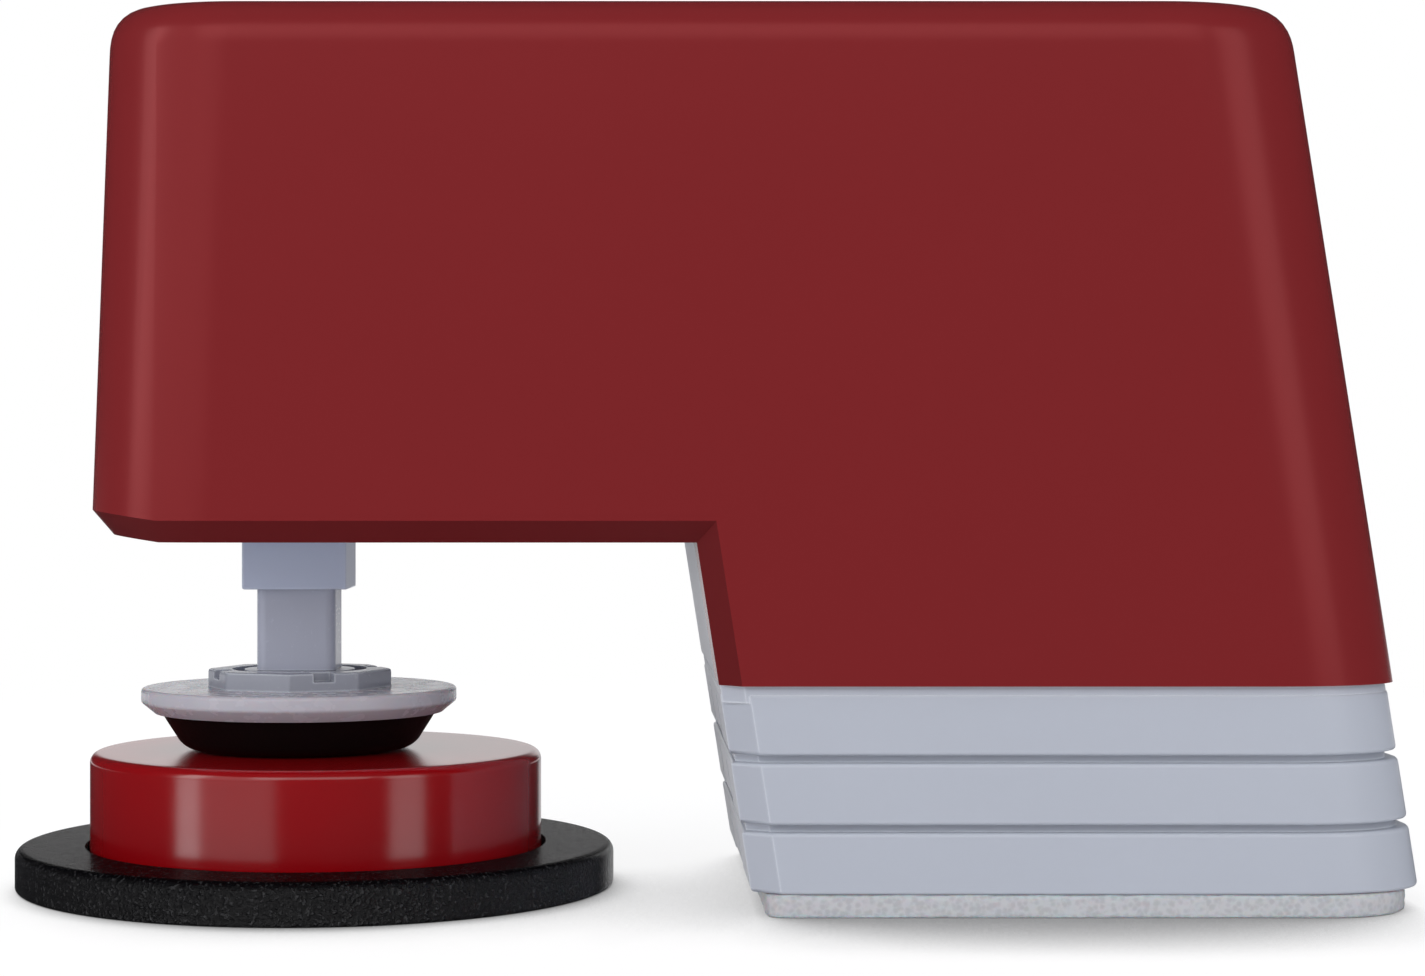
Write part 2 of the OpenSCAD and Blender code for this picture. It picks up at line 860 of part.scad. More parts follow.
module rubber_bumper() {
    top_r = bumper_d / 2;
    tip_r = bumper_tip_d / 2;
    color(dark_plastic)
    translate([stem_x, 0, bumper_bottom])
        rotate_extrude($fn = fine)
            polygon(concat(
                rounded(
                    [[0, 0], [tip_r + 0.5, 0], [top_r - 0.2, bumper_h * 0.75], [top_r, bumper_h]],
                    [0, 0.8, 0.3, 0],
                    5
                ),
                [[plug_r, bumper_h], [plug_r, bumper_h + plug_h - sliver], [0, bumper_h + plug_h - sliver]]
            ));
}

// Involute gear outline: the first tooth points along X
function involute(a) = tan(a) - a * PI / 180;
function to_degrees(rad) = rad * 180 / PI;
function tooth_half(pitch_r, r) =
    to_degrees((tooth_pitch / 2 - tooth_play) / 2 / pitch_r
        + involute(pressure_angle)
        - involute(acos(min(1, pitch_r * cos(pressure_angle) / r))));
function on_circle(r, a) = [r * cos(a), r * sin(a)];
function tooth_points(pitch_r, a, steps) =
    let (
        root = pitch_r - gear_module - tip_gap,
        tip = pitch_r + gear_module,
        low = max(root, pitch_r * cos(pressure_angle) + 0.001),
        flank = [for (i = [0:steps]) low + (tip - low) * i / steps],
        base = tooth_half(pitch_r, low)
    )
    concat(
        [on_circle(root, a - base - (low > root ? 0 : 0.1))],
        [for (r = flank) on_circle(r, a - tooth_half(pitch_r, r))],
        [for (i = [steps:-1:0]) on_circle(flank[i], a + tooth_half(pitch_r, flank[i]))],
        [on_circle(root, a + base + (low > root ? 0 : 0.1))]
    );

module gear_outline(teeth, phase) {
    pitch_r = gear_module * teeth / 2;
    polygon([for (i = [0:teeth - 1]) each tooth_points(pitch_r, phase + 360 * i / teeth, 4)]);
}

// A gear on an axis along Y, placed at x on the train's line
module gear_y(x, teeth, phase, y0, y1) {
    along_y(y0, y1)
        translate([x, gear_z])
            gear_outline(teeth, phase);
}

// Phases that point a tooth along +X or -X, or a gap along -X
tooth_right = 0;
tooth_left = 180;
gap_left = 180 + 180 / pinion_teeth;

module compound_gear(x, wheel_y, wheel_phase, pinion_y0, pinion_y1, pinion_phase) {
    difference() {
        union() {
            gear_y(x, wheel_teeth, wheel_phase, wheel_y, wheel_y + wheel_t);
            gear_y(x, pinion_teeth, pinion_phase, pinion_y0, pinion_y1);
            bar_y(x, gear_z, hub_r, plate_back + sliver, hub_end);
        }
        bar_y(x, gear_z, axle_r + slide_gap / 2, front_inner, frame_back + 1);
        for (a = [0:60:300])
            bar_y(
                x + wheel_r * 0.66 * cos(a + 30),
                gear_z + wheel_r * 0.66 * sin(a + 30),
                wheel_r * 0.16,
                wheel_y - 1,
                wheel_y + wheel_t + 0.5
            );
    }
}

module output_gear() {
    color(pale_plastic)
    compound_gear(
        output_x,
        output_wheel_y,
        tooth_right,
        output_wheel_y + wheel_t - sliver,
        stem_half - 0.2,
        tooth_left
    );
}

module middle_gear() {
    color(pale_plastic)
    compound_gear(
        middle_x,
        middle_wheel_y,
        tooth_right,
        middle_wheel_y + wheel_t - sliver,
        output_wheel_y + wheel_t + 0.2,
        gap_left
    );
}

module motor_pinion() {
    color([0.8, 0.66, 0.35])
    difference() {
        gear_y(motor_x, pinion_teeth, gap_left, middle_wheel_y - 0.2, middle_wheel_y + wheel_t + 0.2);
        bar_y(motor_x, gear_z, shaft_r + axle_fit, front_inner, motor_front);
    }
}

module motor_shaft() {
    color(steel)
        bar_y(motor_x, gear_z, shaft_r, middle_wheel_y - 0.5, motor_front + shaft_depth);
}

module motor_can() {
    color(steel)
    difference() {
        intersection() {
            union() {
                bar_y(motor_x, gear_z, motor_half, motor_front, motor_back);
                bar_y(motor_x, gear_z, shaft_r + 1.2, motor_front - 0.4, motor_front + 1);
            }
            block(
                [motor_x - 2 * motor_half, motor_front - 1, gear_z - motor_flat],
                [motor_x + 2 * motor_half, motor_back, gear_z + motor_flat]
            );
        }
        bar_y(motor_x, gear_z, shaft_r + slide_gap / 2, motor_front - 1, motor_front + shaft_depth + 0.2);
    }
}

module motor_terminals() {
    w = terminal_w / 2;
    t = terminal_t / 2;
    color([0.8, 0.66, 0.35])
        for (x = [motor_x - terminal_place, motor_x + terminal_place])
            block([x - w, motor_back, gear_z - t], [x + w, board_front - fit_gap, gear_z + t]);
}

module output_axle() {
    color(steel)
        bar_y(output_x, gear_z, axle_r, plate_front, frame_back);
}

module middle_axle() {
    color(steel)
        bar_y(middle_x, gear_z, axle_r, plate_front, frame_back);
}

// Round lugs joined by a plate
module lug_plate(y0, y1, left, right, bottom, top) {
    r = 1.5;
    along_y(y0, y1)
        polygon(rounded([[left, bottom], [right, bottom], [right, top], [left, top]], [r, r, r, r], 6));
}

module frame_plate() {
    margin = pillar_r + 0.2;
    color(pale_plastic)
    difference() {
        lug_plate(
            plate_front,
            plate_back,
            output_x - hub_r - 1.2,
            pillar_side + margin,
            gear_z - pillar_rise - margin,
            gear_z + pillar_rise + margin
        );
        for (x = [output_x, middle_x])
            bar_y(x, gear_z, axle_r + axle_fit, plate_front - 1, plate_back + 1);
        for (p = pillars)
            bar_y(p[0], p[1], frame_screw_r + fit_gap, plate_front - 1, plate_back + 1);
        bar_y(motor_x, gear_z, shaft_r + 1, plate_front - 1, plate_back + 1);
    }
}

module frame_screws() {
    head_front = plate_front - frame_head_h;
    color(steel)
    for (p = pillars)
        difference() {
            union() {
                bar_y(p[0], p[1], frame_screw_r, head_front + 0.3, plate_back + frame_screw_len);
                bar_y(p[0], p[1], frame_head_r, head_front, plate_front);
            }
            cross_slot_front(p, head_front + slot_depth);
        }
}

// Cross recess in a screw's head, cut from the front
module cross_slot_front(p, y) {
    w = frame_slot_w / 2;
    arm = frame_slot_len / 2;
    block([p[0] - w, y - 1, p[1] - arm], [p[0] + w, y, p[1] + arm]);
    block([p[0] - arm, y - 1, p[1] - w], [p[0] + arm, y, p[1] + w]);
}

module gear_frame() {
    bottom = max(gear_z - pillar_rise - pillar_r, arm_floor_top + flange_h + 0.2);
    cradle = motor_half + cradle_t;
    color([0.8, 0.8, 0.76])
    difference() {
        union() {
            lug_plate(
                frame_y,
                frame_back,
                frame_left,
                motor_x + cradle,
                bottom,
                inner_top - 0.4
            );
            for (p = pillars)
                bar_y(p[0], p[1], pillar_r, plate_back, frame_y + 0.5);
            block(
                [motor_x - cradle, motor_front + 0.3, gear_z - motor_flat - cradle_t],
                [motor_x + cradle, frame_y + 0.5, gear_z + motor_flat + cradle_t]
            );
            block(
                [stem_x - stem_half - 1, -stem_half - 0.6, upper_guide_z],
                [stem_x + stem_half + 1, frame_y + 0.5, upper_guide_z + upper_guide_h]
            );
        }
        square_hole(upper_guide_z - 1, upper_guide_z + upper_guide_h + 1);
        intersection() {
            bar_y(motor_x, gear_z, motor_half + fit_gap / 2, motor_front - 1, frame_back + 1);
            block(
                [motor_x - 2 * motor_half, motor_front - 2, gear_z - motor_flat - fit_gap / 2],
                [motor_x + 2 * motor_half, frame_back + 2, gear_z + motor_flat + fit_gap / 2]
            );
        }
        for (x = [output_x, middle_x])
            bar_y(x, gear_z, axle_r + axle_fit, frame_y - 1, frame_back + 1);
        for (p = pillars)
            bar_y(p[0], p[1], frame_screw_r + axle_fit, plate_back - 1, plate_back + frame_screw_len + 0.5);
        for (p = screw_places)
            bar_y(p[0], p[1], boss_r + fit_gap, frame_y - 6, frame_back + 1);
    }
}

module limit_switch() {
    color(dark_plastic)
    difference() {
        union() {
            block(
                [limit_x, -stem_half, limit_z],
                [limit_x + limit_w, frame_y, limit_z + limit_len]
            );
            block(
                [limit_x + limit_w - 0.1, -lever_half, limit_z + limit_len / 2 - lever_half],
                [limit_x + limit_w + 0.5, lever_half, limit_z + limit_len / 2 + lever_half]
            );
        }
        for (z = [limit_z + 1.2, limit_z + limit_len - 1.2])
            along_y(-stem_half - 1, -stem_half + 0.6)
                translate([limit_x + limit_w / 2, z])
                    circle(r = 0.5, $fn = small);
    }
}

module circuit_board() {
    color(board_green)
    difference() {
        lug_plate(board_front, board_back, board_left, board_right, board_bottom, board_head);
        for (p = screw_places)
            bar_y(p[0], p[1], tube_wide + 0.2, board_front - 1, board_back + 1);
    }
}

module radio_module() {
    color(steel)
        block(
            [radio_left, board_front - radio_t, radio_bottom],
            [radio_left + radio_w, board_front, radio_bottom + radio_h]
        );
}

module battery() {
    r = battery_d / 2;
    color([0.3, 0.42, 0.55])
    leaning()
        translate([battery_x, battery_y, battery_bottom])
            rotate_extrude($fn = fine)
                polygon(rounded(
                    [
                        [0, 0],
                        [r, 0],
                        [r, battery_len - terminal_h],
                        [terminal_r, battery_len - terminal_h],
                        [terminal_r, battery_len],
                        [0, battery_len]
                    ],
                    [0, 0.6, 0.6, 0, 0.2, 0],
                    5
                ));
}

module battery_contacts() {
    color(steel)
    leaning() {
        for (z = [bay_floor, bay_top - contact_t])
            block(
                [battery_x - contact_half, battery_y - contact_front, z],
                [battery_x + contact_half, rear_inner - contact_back, z + contact_t]
            );
        translate([battery_x, battery_y, battery_top])
            cylinder(r1 = plus_tip_r, r2 = plus_root_r, h = contact_rise, $fn = small);
        translate([battery_x, battery_y, bay_floor + contact_t])
            cylinder(r1 = minus_root_r, r2 = minus_tip_r, h = contact_rise, $fn = small);
    }
}

// One spacer: a leaning side, a drawn-in neck above it, a tongue on top and a pocket below
module spacer(level) {
    z0 = foam_h + level * spacer_pitch;
    z1 = z0 + spacer_h;
    z2 = z0 + spacer_pitch;
    left = -leg_half * cos(leg_lean);
    depth = level < spacer_count - 1 ? groove_depth : seat_depth;
    color(grey_plastic)
    difference() {
        union() {
            intersection() {
                leg_prism(spacer_inset, left, corner_cut);
                block([-far, -far, z0], [far, far, z1]);
            }
            intersection() {
                leg_prism(spacer_inset + depth, left + depth, corner_cut);
                block([-far, -far, z1 - sliver], [far, far, z2]);
            }
            tongue(z2 - sliver, z2 + tongue_h, 0);
        }
        tongue(z0 - 1, z0 + tongue_pocket, fit_gap);
        snap_notch(z0, z1);
    }
}

// Slots on the left side that leave a snap tab between them
module snap_notch(z0, z1) {
    x = leg_left((z0 + z1) / 2);
    depth = 0.7;
    for (side = [-1, 1])
        block(
            [x - 2, side * tab_w / 2 - 0.35, z0 - 1],
            [x + depth, side * tab_w / 2 + 0.35, z1 - 0.6]
        );
    block([x - 2, -tab_w / 2, z0 - 1], [x + depth, tab_w / 2, z0 + 0.5]);
}

module spacer_bottom() { spacer(0); }

module spacer_middle() { spacer(1); }

module spacer_top() { spacer(2); }

module foam_pad() {
    x = leg_half - spacer_inset / cos(leg_lean) / 2 - foam_inset;
    y = half_depth - spacer_inset;
    color([0.82, 0.83, 0.85])
    linear_extrude(height = foam_h)
        polygon(rounded(
            [[-x, -y], [x, -y], [x, y], [-x, y]],
            [foam_round, front_round - spacer_inset, rear_round - spacer_inset, foam_round]
        ));
}

// A solid of revolution about the button's axis
module button_turned() {
    translate([button_x, 0, 0])
        rotate_extrude($fn = fine)
            children();
}

module button_base() {
    ring_r = base_d / 2;
    color(dark_plastic)
    button_turned()
        polygon(concat(
            rounded(
                [[clip_pocket_r, 0], [ring_r, 0], [ring_r, base_h], [base_bore, base_h]],
                [0, 0.2, base_round, 0.15],
                6
            ),
            [
                [base_bore, base_floor],
                [tube_r, base_floor],
                [tube_r, tube_top],
                [guide_bore, tube_top],
                [guide_bore, clip_pocket_top],
                [clip_pocket_r, clip_pocket_top]
            ]
        ));
}

module button_cap() {
    groove_r = post_r - clip_bite;
    clip_bottom = clip_top - clip_t;
    post_end = clip_bottom - 0.3;
    color(cap_red)
    union() {
        button_turned()
            polygon(concat(
                [[0, cap_top]],
                corner([0, cap_top], [cap_r, cap_top], [cap_r, cap_edge], cap_round, 6),
                [
                    [cap_r, cap_edge],
                    [cap_inner_r, cap_edge],
                    [cap_inner_r, cap_ceiling],
                    [post_r, cap_ceiling],
                    [post_r, clip_top],
                    [groove_r, clip_top],
                    [groove_r, clip_bottom],
                    [post_r - 0.2, clip_bottom],
                    [post_r - 0.2, post_end],
                    [0, post_end]
                ]
            ));
        translate([button_x + pill_place, 0, pill_bottom + pill_h])
            cylinder(r = pill_r, h = cap_ceiling - pill_bottom - pill_h + sliver, $fn = small);
    }
}

module contact_pill() {
    color([0.15, 0.15, 0.16])
    translate([button_x + pill_place, 0, pill_bottom])
        cylinder(r = pill_r, h = pill_h, $fn = small);
}

module cap_clip() {
    groove_r = post_r - clip_bite;
    color(steel)
    translate([button_x, 0, clip_top - clip_t])
        difference() {
            cylinder(r = post_r + clip_reach, h = clip_t, $fn = small);
            translate([0, 0, -1])
                cylinder(r = groove_r + axle_fit, h = clip_t + 2, $fn = small);
            translate([0, -groove_r * 0.7, -1])
                cube([post_d, groove_r * 1.4, clip_t + 2]);
        }
}

module button_board() {
    color(board_green)
    translate([button_x, 0, base_floor])
        difference() {
            cylinder(r = cap_inner_r - board_rim, h = button_board_t, $fn = fine);
            translate([0, 0, -1])
                cylinder(r = tube_r + board_rim, h = button_board_t + 2, $fn = small);
        }
}

// Coil spring as a tube swept along its helix
module return_spring() {
    sides = 8;
    ring_steps = 20;
    r = spring_wire / 2;
    z0 = board_top + r;
    z1 = cap_ceiling - r;
    rings = round(spring_turns * ring_steps);
    color(steel)
    translate([button_x, 0, 0])
        polyhedron(
            points = [
                for (i = [0:rings], j = [0:sides - 1])
                    let (
                        a = 360 * i / ring_steps,
                        b = 360 * j / sides,
                        out = spring_r + r * cos(b)
                    )
                    [out * cos(a), out * sin(a), z0 + (z1 - z0) * i / rings + r * sin(b)]
            ],
            faces = concat(
                [[for (j = [0:sides - 1]) j]],
                [
                    for (i = [0:rings - 1], j = [0:sides - 1])
                        let (k = (j + 1) % sides, low = i * sides, high = low + sides)
                        [low + j, high + j, high + k, low + k]
                ],
                [[for (j = [sides - 1:-1:0]) rings * sides + j]]
            )
        );
}

front_cover();
rear_housing();
battery_door();
door_pin();
cover_screws();
pairing_button();
light_pipe();
guide_block();
plunger_stem();
collar_nut();
pressing_disc();
rubber_bumper();
gear_frame();
frame_plate();
frame_screws();
output_axle();
middle_axle();
output_gear();
middle_gear();
motor_pinion();
motor_shaft();
motor_can();
motor_terminals();
limit_switch();
circuit_board();
radio_module();
pairing_switch();
battery();
battery_contacts();
spacer_top();
spacer_middle();
spacer_bottom();
foam_pad();
button_base();
button_cap();
cap_clip();
return_spring();
button_board();
contact_pill();
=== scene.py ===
import math
import random

import bmesh
import bpy
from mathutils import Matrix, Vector


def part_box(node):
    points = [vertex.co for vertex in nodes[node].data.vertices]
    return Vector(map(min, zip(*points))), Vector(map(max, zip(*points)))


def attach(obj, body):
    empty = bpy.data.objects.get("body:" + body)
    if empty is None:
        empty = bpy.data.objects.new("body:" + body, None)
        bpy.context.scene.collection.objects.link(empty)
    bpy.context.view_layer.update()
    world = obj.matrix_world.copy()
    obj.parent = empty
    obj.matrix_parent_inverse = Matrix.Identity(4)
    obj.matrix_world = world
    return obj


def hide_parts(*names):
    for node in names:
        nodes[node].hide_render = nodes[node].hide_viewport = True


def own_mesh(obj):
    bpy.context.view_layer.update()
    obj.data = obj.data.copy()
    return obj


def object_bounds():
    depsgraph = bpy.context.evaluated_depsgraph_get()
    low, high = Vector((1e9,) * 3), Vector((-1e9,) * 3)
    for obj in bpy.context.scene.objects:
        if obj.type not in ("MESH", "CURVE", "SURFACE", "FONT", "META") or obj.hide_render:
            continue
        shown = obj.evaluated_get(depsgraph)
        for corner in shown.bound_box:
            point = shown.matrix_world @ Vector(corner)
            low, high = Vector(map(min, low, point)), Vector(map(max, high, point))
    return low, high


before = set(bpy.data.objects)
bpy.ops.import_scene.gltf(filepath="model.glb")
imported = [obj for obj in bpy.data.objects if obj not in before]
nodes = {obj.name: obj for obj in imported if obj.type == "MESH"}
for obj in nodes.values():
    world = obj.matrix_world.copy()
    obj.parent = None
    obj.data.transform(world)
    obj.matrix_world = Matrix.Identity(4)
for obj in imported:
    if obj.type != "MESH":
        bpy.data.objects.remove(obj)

cadLow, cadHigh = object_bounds()
mm = 0.001
collection = bpy.context.scene.collection


# node trees: a socket is either wired to another one or given a constant

def feed(tree, socket, value):
    if isinstance(value, bpy.types.NodeSocket):
        tree.links.new(value, socket)
    elif socket.type == "RGBA":
        socket.default_value = (*value, 1)
    else:
        socket.default_value = value


def fill(tree, node, **sockets):
    # an underscore in a label stands for a space
    for label, value in sockets.items():
        feed(tree, node.inputs[label.replace("_", " ")], value)


def addNode(tree, kind, *first, operation=None, **sockets):
    node = tree.nodes.new("ShaderNode" + kind)
    if operation:
        node.operation = operation
    for socket, value in zip(node.inputs, first):
        feed(tree, socket, value)
    fill(tree, node, **sockets)
    return node


def maths(tree, operation, *values):
    return addNode(tree, "Math", *values, operation=operation).outputs[0]


def span(tree, value, low, high, toLow=0.0, toHigh=1.0, smooth=False):
    node = addNode(tree, "MapRange", Value=value, From_Min=low, From_Max=high, To_Min=toLow, To_Max=toHigh)
    if smooth:
        node.interpolation_type = "SMOOTHSTEP"
    return node.outputs["Result"]


def mixColor(tree, factor, first, second):
    node = tree.nodes.new("ShaderNodeMix")
    node.data_type = "RGBA"
    for name, kind, value in (("Factor", "VALUE", factor), ("A", "RGBA", first), ("B", "RGBA", second)):
        feed(tree, next(s for s in node.inputs if s.name == name and s.type == kind), value)
    return next(s for s in node.outputs if s.type == "RGBA")


# camera, world, lights and floor

cameraSetup = {
    "lens": 69.35, "sensor": 36.0, "shiftX": 0.0719, "near": 0.005,
    "place": (-25.15, -155.3, 22.24),    # millimetres
}


def makeCamera():
    s = cameraSetup
    data = bpy.data.cameras.new("camera")
    data.lens, data.sensor_width, data.shift_x, data.clip_start = s["lens"], s["sensor"], s["shiftX"], s["near"]
    data.sensor_fit = "HORIZONTAL"
    camera = bpy.data.objects.new("camera", data)
    camera.location = Vector(s["place"]) * mm
    camera.rotation_euler = (math.radians(90), 0, 0)
    collection.objects.link(camera)
    bpy.context.scene.camera = camera


worldSetup = {
    "background": (1.0, 1.0, 1.0),
    "room": (0.40, 0.40, 0.41),          # what lights the object from all round
    "studio": (0.028, 0.028, 0.031),     # what gloss sees where neither backdrop nor lamp is
    "behind": (0.0, 0.3),                # where the white backdrop begins, and is full
    "side": (0.20, 0.34),                # how far it reaches to each side, and fades
    "height": (0.18, 0.30),              # how high it reaches, and fades
}


def makeWorld():
    s = worldSetup
    world = bpy.data.worlds.new("studio")
    bpy.context.scene.world = world
    world.use_nodes = True
    tree = world.node_tree
    tree.nodes.clear()
    path = addNode(tree, "LightPath").outputs
    place = addNode(tree, "TexCoord").outputs["Generated"]
    split = addNode(tree, "SeparateXYZ", place).outputs
    backdrop = span(tree, split["Y"], *s["behind"], smooth=True)
    for value, (full, gone) in ((maths(tree, "ABSOLUTE", split["X"]), s["side"]), (split["Z"], s["height"])):
        backdrop = maths(tree, "MULTIPLY", backdrop, span(tree, value, gone, full, smooth=True))
    glossTone = mixColor(tree, backdrop, s["studio"], s["background"])
    glossPick = mixColor(tree, path["Is Glossy Ray"], s["room"], glossTone)
    clear = maths(tree, "MAXIMUM", path["Is Camera Ray"], path["Is Transmission Ray"])
    shade = addNode(tree, "Background", Color=mixColor(tree, clear, glossPick, s["background"]))
    addNode(tree, "OutputWorld", Surface=shade.outputs[0])


lamps = {
    # place, aim and size in millimetres, power in watts, whether gloss shows it
    "leftStrip": ((-339, -170, 130), (-30, 0, 25), (88, 240), 0.118, True),
    "leftFill": ((-290, -300, 150), (-30, 0, 25), (400, 280), 0.22, True),
    "leftGlow": ((-330, -150, 170), (-20, 0, 25), (150, 200), 0.18, False),
    "rightStrip": ((258, -241, 130), (0, 0, 25), (130, 240), 0.128, True),
    "rightFill": ((202, -315, 150), (0, 0, 25), (290, 280), 0.11, False),
    "rightGlow": ((330, -170, 160), (0, 0, 25), (150, 200), 0.07, False),
    "frontBox": ((-20, -348, 223), (-20, 0, 46), (420, 180), 0.26, True),
    "frontGlow": ((-20, -330, 250), (-20, 0, 46), (420, 300), 0.15, False),
    "topBox": ((-20, -60, 360), (-20, 0, 40), (300, 200), 0.14, False),
    "backFill": ((60, 320, 230), (-10, 0, 20), (320, 220), 0.40, False),
}


def makeLamps():
    for name, (place, aim, size, power, gloss) in lamps.items():
        data = bpy.data.lights.new(name, "AREA")
        data.shape = "RECTANGLE"
        data.size, data.size_y = size[0] * mm, size[1] * mm
        data.energy = power
        lamp = bpy.data.objects.new(name, data)
        lamp.location = Vector(place) * mm
        lamp.rotation_euler = (Vector(aim) * mm - lamp.location).to_track_quat("-Z", "Y").to_euler()
        lamp.visible_camera = False
        lamp.visible_glossy = gloss
        collection.objects.link(lamp)


floorSetup = {
    "half": 1.6, "color": (0.92, 0.92, 0.93),
    "plain": (0.22, 0.22, 0.223), "lift": 0.84,   # to the camera: part lit floor, part even white
    # the painted close shadow at a foot, from ambient occlusion: its reach, the way it looks, where it is full and
    # where it ends
    "reach": 0.0165, "lean": (0, 0.95, 0.31), "open": (0.30, 0.73), "samples": 16,
    # what gloss sees of the floor on the near side, which is polished enough to hand the lamps on
    "table": (0.05, 0.05, 0.053), "polish": (0.95, 0.95, 0.96), "rough": 0.12, "sheen": 0.9,
    "nearSide": (0.12, 0.06), "far": (0.070, 0.17),
}


def makeFloor():
    # near the object the floor takes its shadow, partly lit and partly painted from ambient occlusion, further off
    # it is plain white to the camera
    s = floorSetup
    half = s["half"]
    mesh = bpy.data.meshes.new("floor")
    mesh.from_pydata([(-half, -half, 0), (half, -half, 0), (half, half, 0), (-half, half, 0)], [], [(0, 1, 2, 3)])
    floor = bpy.data.objects.new("floor", mesh)
    collection.objects.link(floor)
    material = bpy.data.materials.new("paleFloor")
    material.use_nodes = True
    tree = material.node_tree
    tree.nodes.clear()
    path = addNode(tree, "LightPath").outputs
    camera = path["Is Camera Ray"]
    place = addNode(tree, "TexCoord").outputs["Object"]
    lean = addNode(tree, "CombineXYZ", *s["lean"]).outputs[0]
    crevice = addNode(tree, "AmbientOcclusion", Distance=s["reach"], Normal=lean)
    crevice.samples = s["samples"]
    seen = maths(tree, "MULTIPLY", camera, span(tree, crevice.outputs["AO"], *s["open"]))
    glow = addNode(tree, "Emission", Strength=maths(tree, "MULTIPLY", seen, s["lift"]))
    depth = addNode(tree, "SeparateXYZ", place).outputs["Y"]
    nearSide = maths(tree, "MULTIPLY", span(tree, depth, *s["nearSide"], smooth=True), path["Is Glossy Ray"])
    tone = mixColor(tree, nearSide, mixColor(tree, camera, s["color"], s["plain"]), s["table"])
    diffuse = addNode(tree, "BsdfDiffuse", Color=tone)
    both = addNode(tree, "AddShader", diffuse.outputs[0], glow.outputs[0])
    polish = addNode(tree, "BsdfGlossy", Color=s["polish"], Roughness=s["rough"])
    handOn = addNode(tree, "MixShader", maths(tree, "MULTIPLY", nearSide, s["sheen"]), both.outputs[0],
                     polish.outputs[0])
    middle = ((cadLow.x + cadHigh.x) / 2, 0, 0)
    away = addNode(tree, "VectorMath", place, middle, operation="DISTANCE").outputs["Value"]
    far = maths(tree, "MULTIPLY", span(tree, away, *s["far"], smooth=True), camera)
    white = addNode(tree, "Emission")
    blend = addNode(tree, "MixShader", far, handOn.outputs[0], white.outputs[0])
    addNode(tree, "OutputMaterial", Surface=blend.outputs[0])
    mesh.materials.append(material)


makeCamera()
makeWorld()
makeLamps()
makeFloor()
print("stage: camera, world, lamps and floor")


# shader groups that several finishes share

def newGroup(name, inputs, outputs):
    group = bpy.data.node_groups.new(name, "ShaderNodeTree")
    for label, value in inputs.items():
        kind = "NodeSocketFloat" if isinstance(value, float) else "NodeSocketColor"
        group.interface.new_socket(name=label, in_out="INPUT", socket_type=kind).default_value = value
    for label, kind in outputs.items():
        group.interface.new_socket(name=label, in_out="OUTPUT", socket_type=kind)
    return group, group.nodes.new("NodeGroupInput").outputs, group.nodes.new("NodeGroupOutput")


def noiseIn(tree, scale, detail, **sockets):
    place = addNode(tree, "TexCoord").outputs["Object"]
    return addNode(tree, "TexNoise", Vector=place, Scale=scale, Detail=detail, **sockets).outputs["Fac"]


def makeGrainGroup():
    # fine moulded or sprayed texture: a normal and a roughness that drifts with it
    group, start, end = newGroup(
        "mouldedGrain", {"Scale": 3000.0, "Height": 0.00002, "Strength": 0.5, "Roughness": 0.4, "Spread": 0.08},
        {"Normal": "NodeSocketVector", "Roughness": "NodeSocketFloat", "Grain": "NodeSocketFloat"})
    noise = noiseIn(group, start["Scale"], 3, Roughness=0.55)
    bump = addNode(group, "Bump", Strength=start["Strength"], Distance=start["Height"], Height=noise)
    rough = maths(group, "MULTIPLY_ADD", maths(group, "SUBTRACT", noise, 0.5), start["Spread"], start["Roughness"])
    fill(group, end, Normal=bump.outputs["Normal"], Roughness=rough, Grain=noise)
    return group


def makeToneGroup():
    # slow drift of a colour across a moulding
    group, start, end = newGroup("toneDrift", {"Color": (0.5, 0.5, 0.5, 1), "Amount": 0.06, "Scale": 60.0},
                                 {"Color": "NodeSocketColor"})
    noise = noiseIn(group, start["Scale"], 2)
    gain = maths(group, "MULTIPLY_ADD", maths(group, "SUBTRACT", noise, 0.5), start["Amount"], 1.0)
    scaled = addNode(group, "VectorMath", start["Color"], operation="SCALE", Scale=gain)
    fill(group, end, Color=scaled.outputs[0])
    return group


edgeSetup = {"samples": 4, "flat": 0.995, "turned": 0.90}     # cosines of a face and its eased normal


def makeEdgeGroup():
    # convex edges, paler: partly wear where handling polishes a plastic, partly a painted highlight along the edges
    group, start, end = newGroup(
        "edgeWearAndHighlight", {"Radius": 0.0002, "Color": (0.5, 0.5, 0.5, 1), "WearAndHighlight": (0.6, 0.6, 0.6, 1), "Amount": 0.4},
        {"Color": "NodeSocketColor"})
    eased = addNode(group, "Bevel", Radius=start["Radius"])
    eased.samples = edgeSetup["samples"]
    normal = addNode(group, "NewGeometry").outputs["Normal"]
    likeness = addNode(group, "VectorMath", eased.outputs[0], normal, operation="DOT_PRODUCT").outputs["Value"]
    edge = span(group, likeness, edgeSetup["flat"], edgeSetup["turned"])
    amount = maths(group, "MULTIPLY", edge, start["Amount"])
    fill(group, end, Color=mixColor(group, amount, start["Color"], start["WearAndHighlight"]))
    return group


def upward(tree):
    normal = addNode(tree, "NewGeometry").outputs["Normal"]
    return addNode(tree, "SeparateXYZ", normal).outputs["Z"]


def makeTopGroup():
    # mask of the faces that look up
    group, start, end = newGroup("topFaces", {"Begin": 0.5, "Full": 0.95}, {"Mask": "NodeSocketFloat"})
    fill(group, end, Mask=span(group, upward(group), start["Begin"], start["Full"]))
    return group


grainGroup = makeGrainGroup()
toneGroup = makeToneGroup()
edgeGroup = makeEdgeGroup()
topGroup = makeTopGroup()


def useGroup(tree, group, **sockets):
    node = tree.nodes.new("ShaderNodeGroup")
    node.node_tree = group
    fill(tree, node, **sockets)
    return node.outputs


finishes = {}


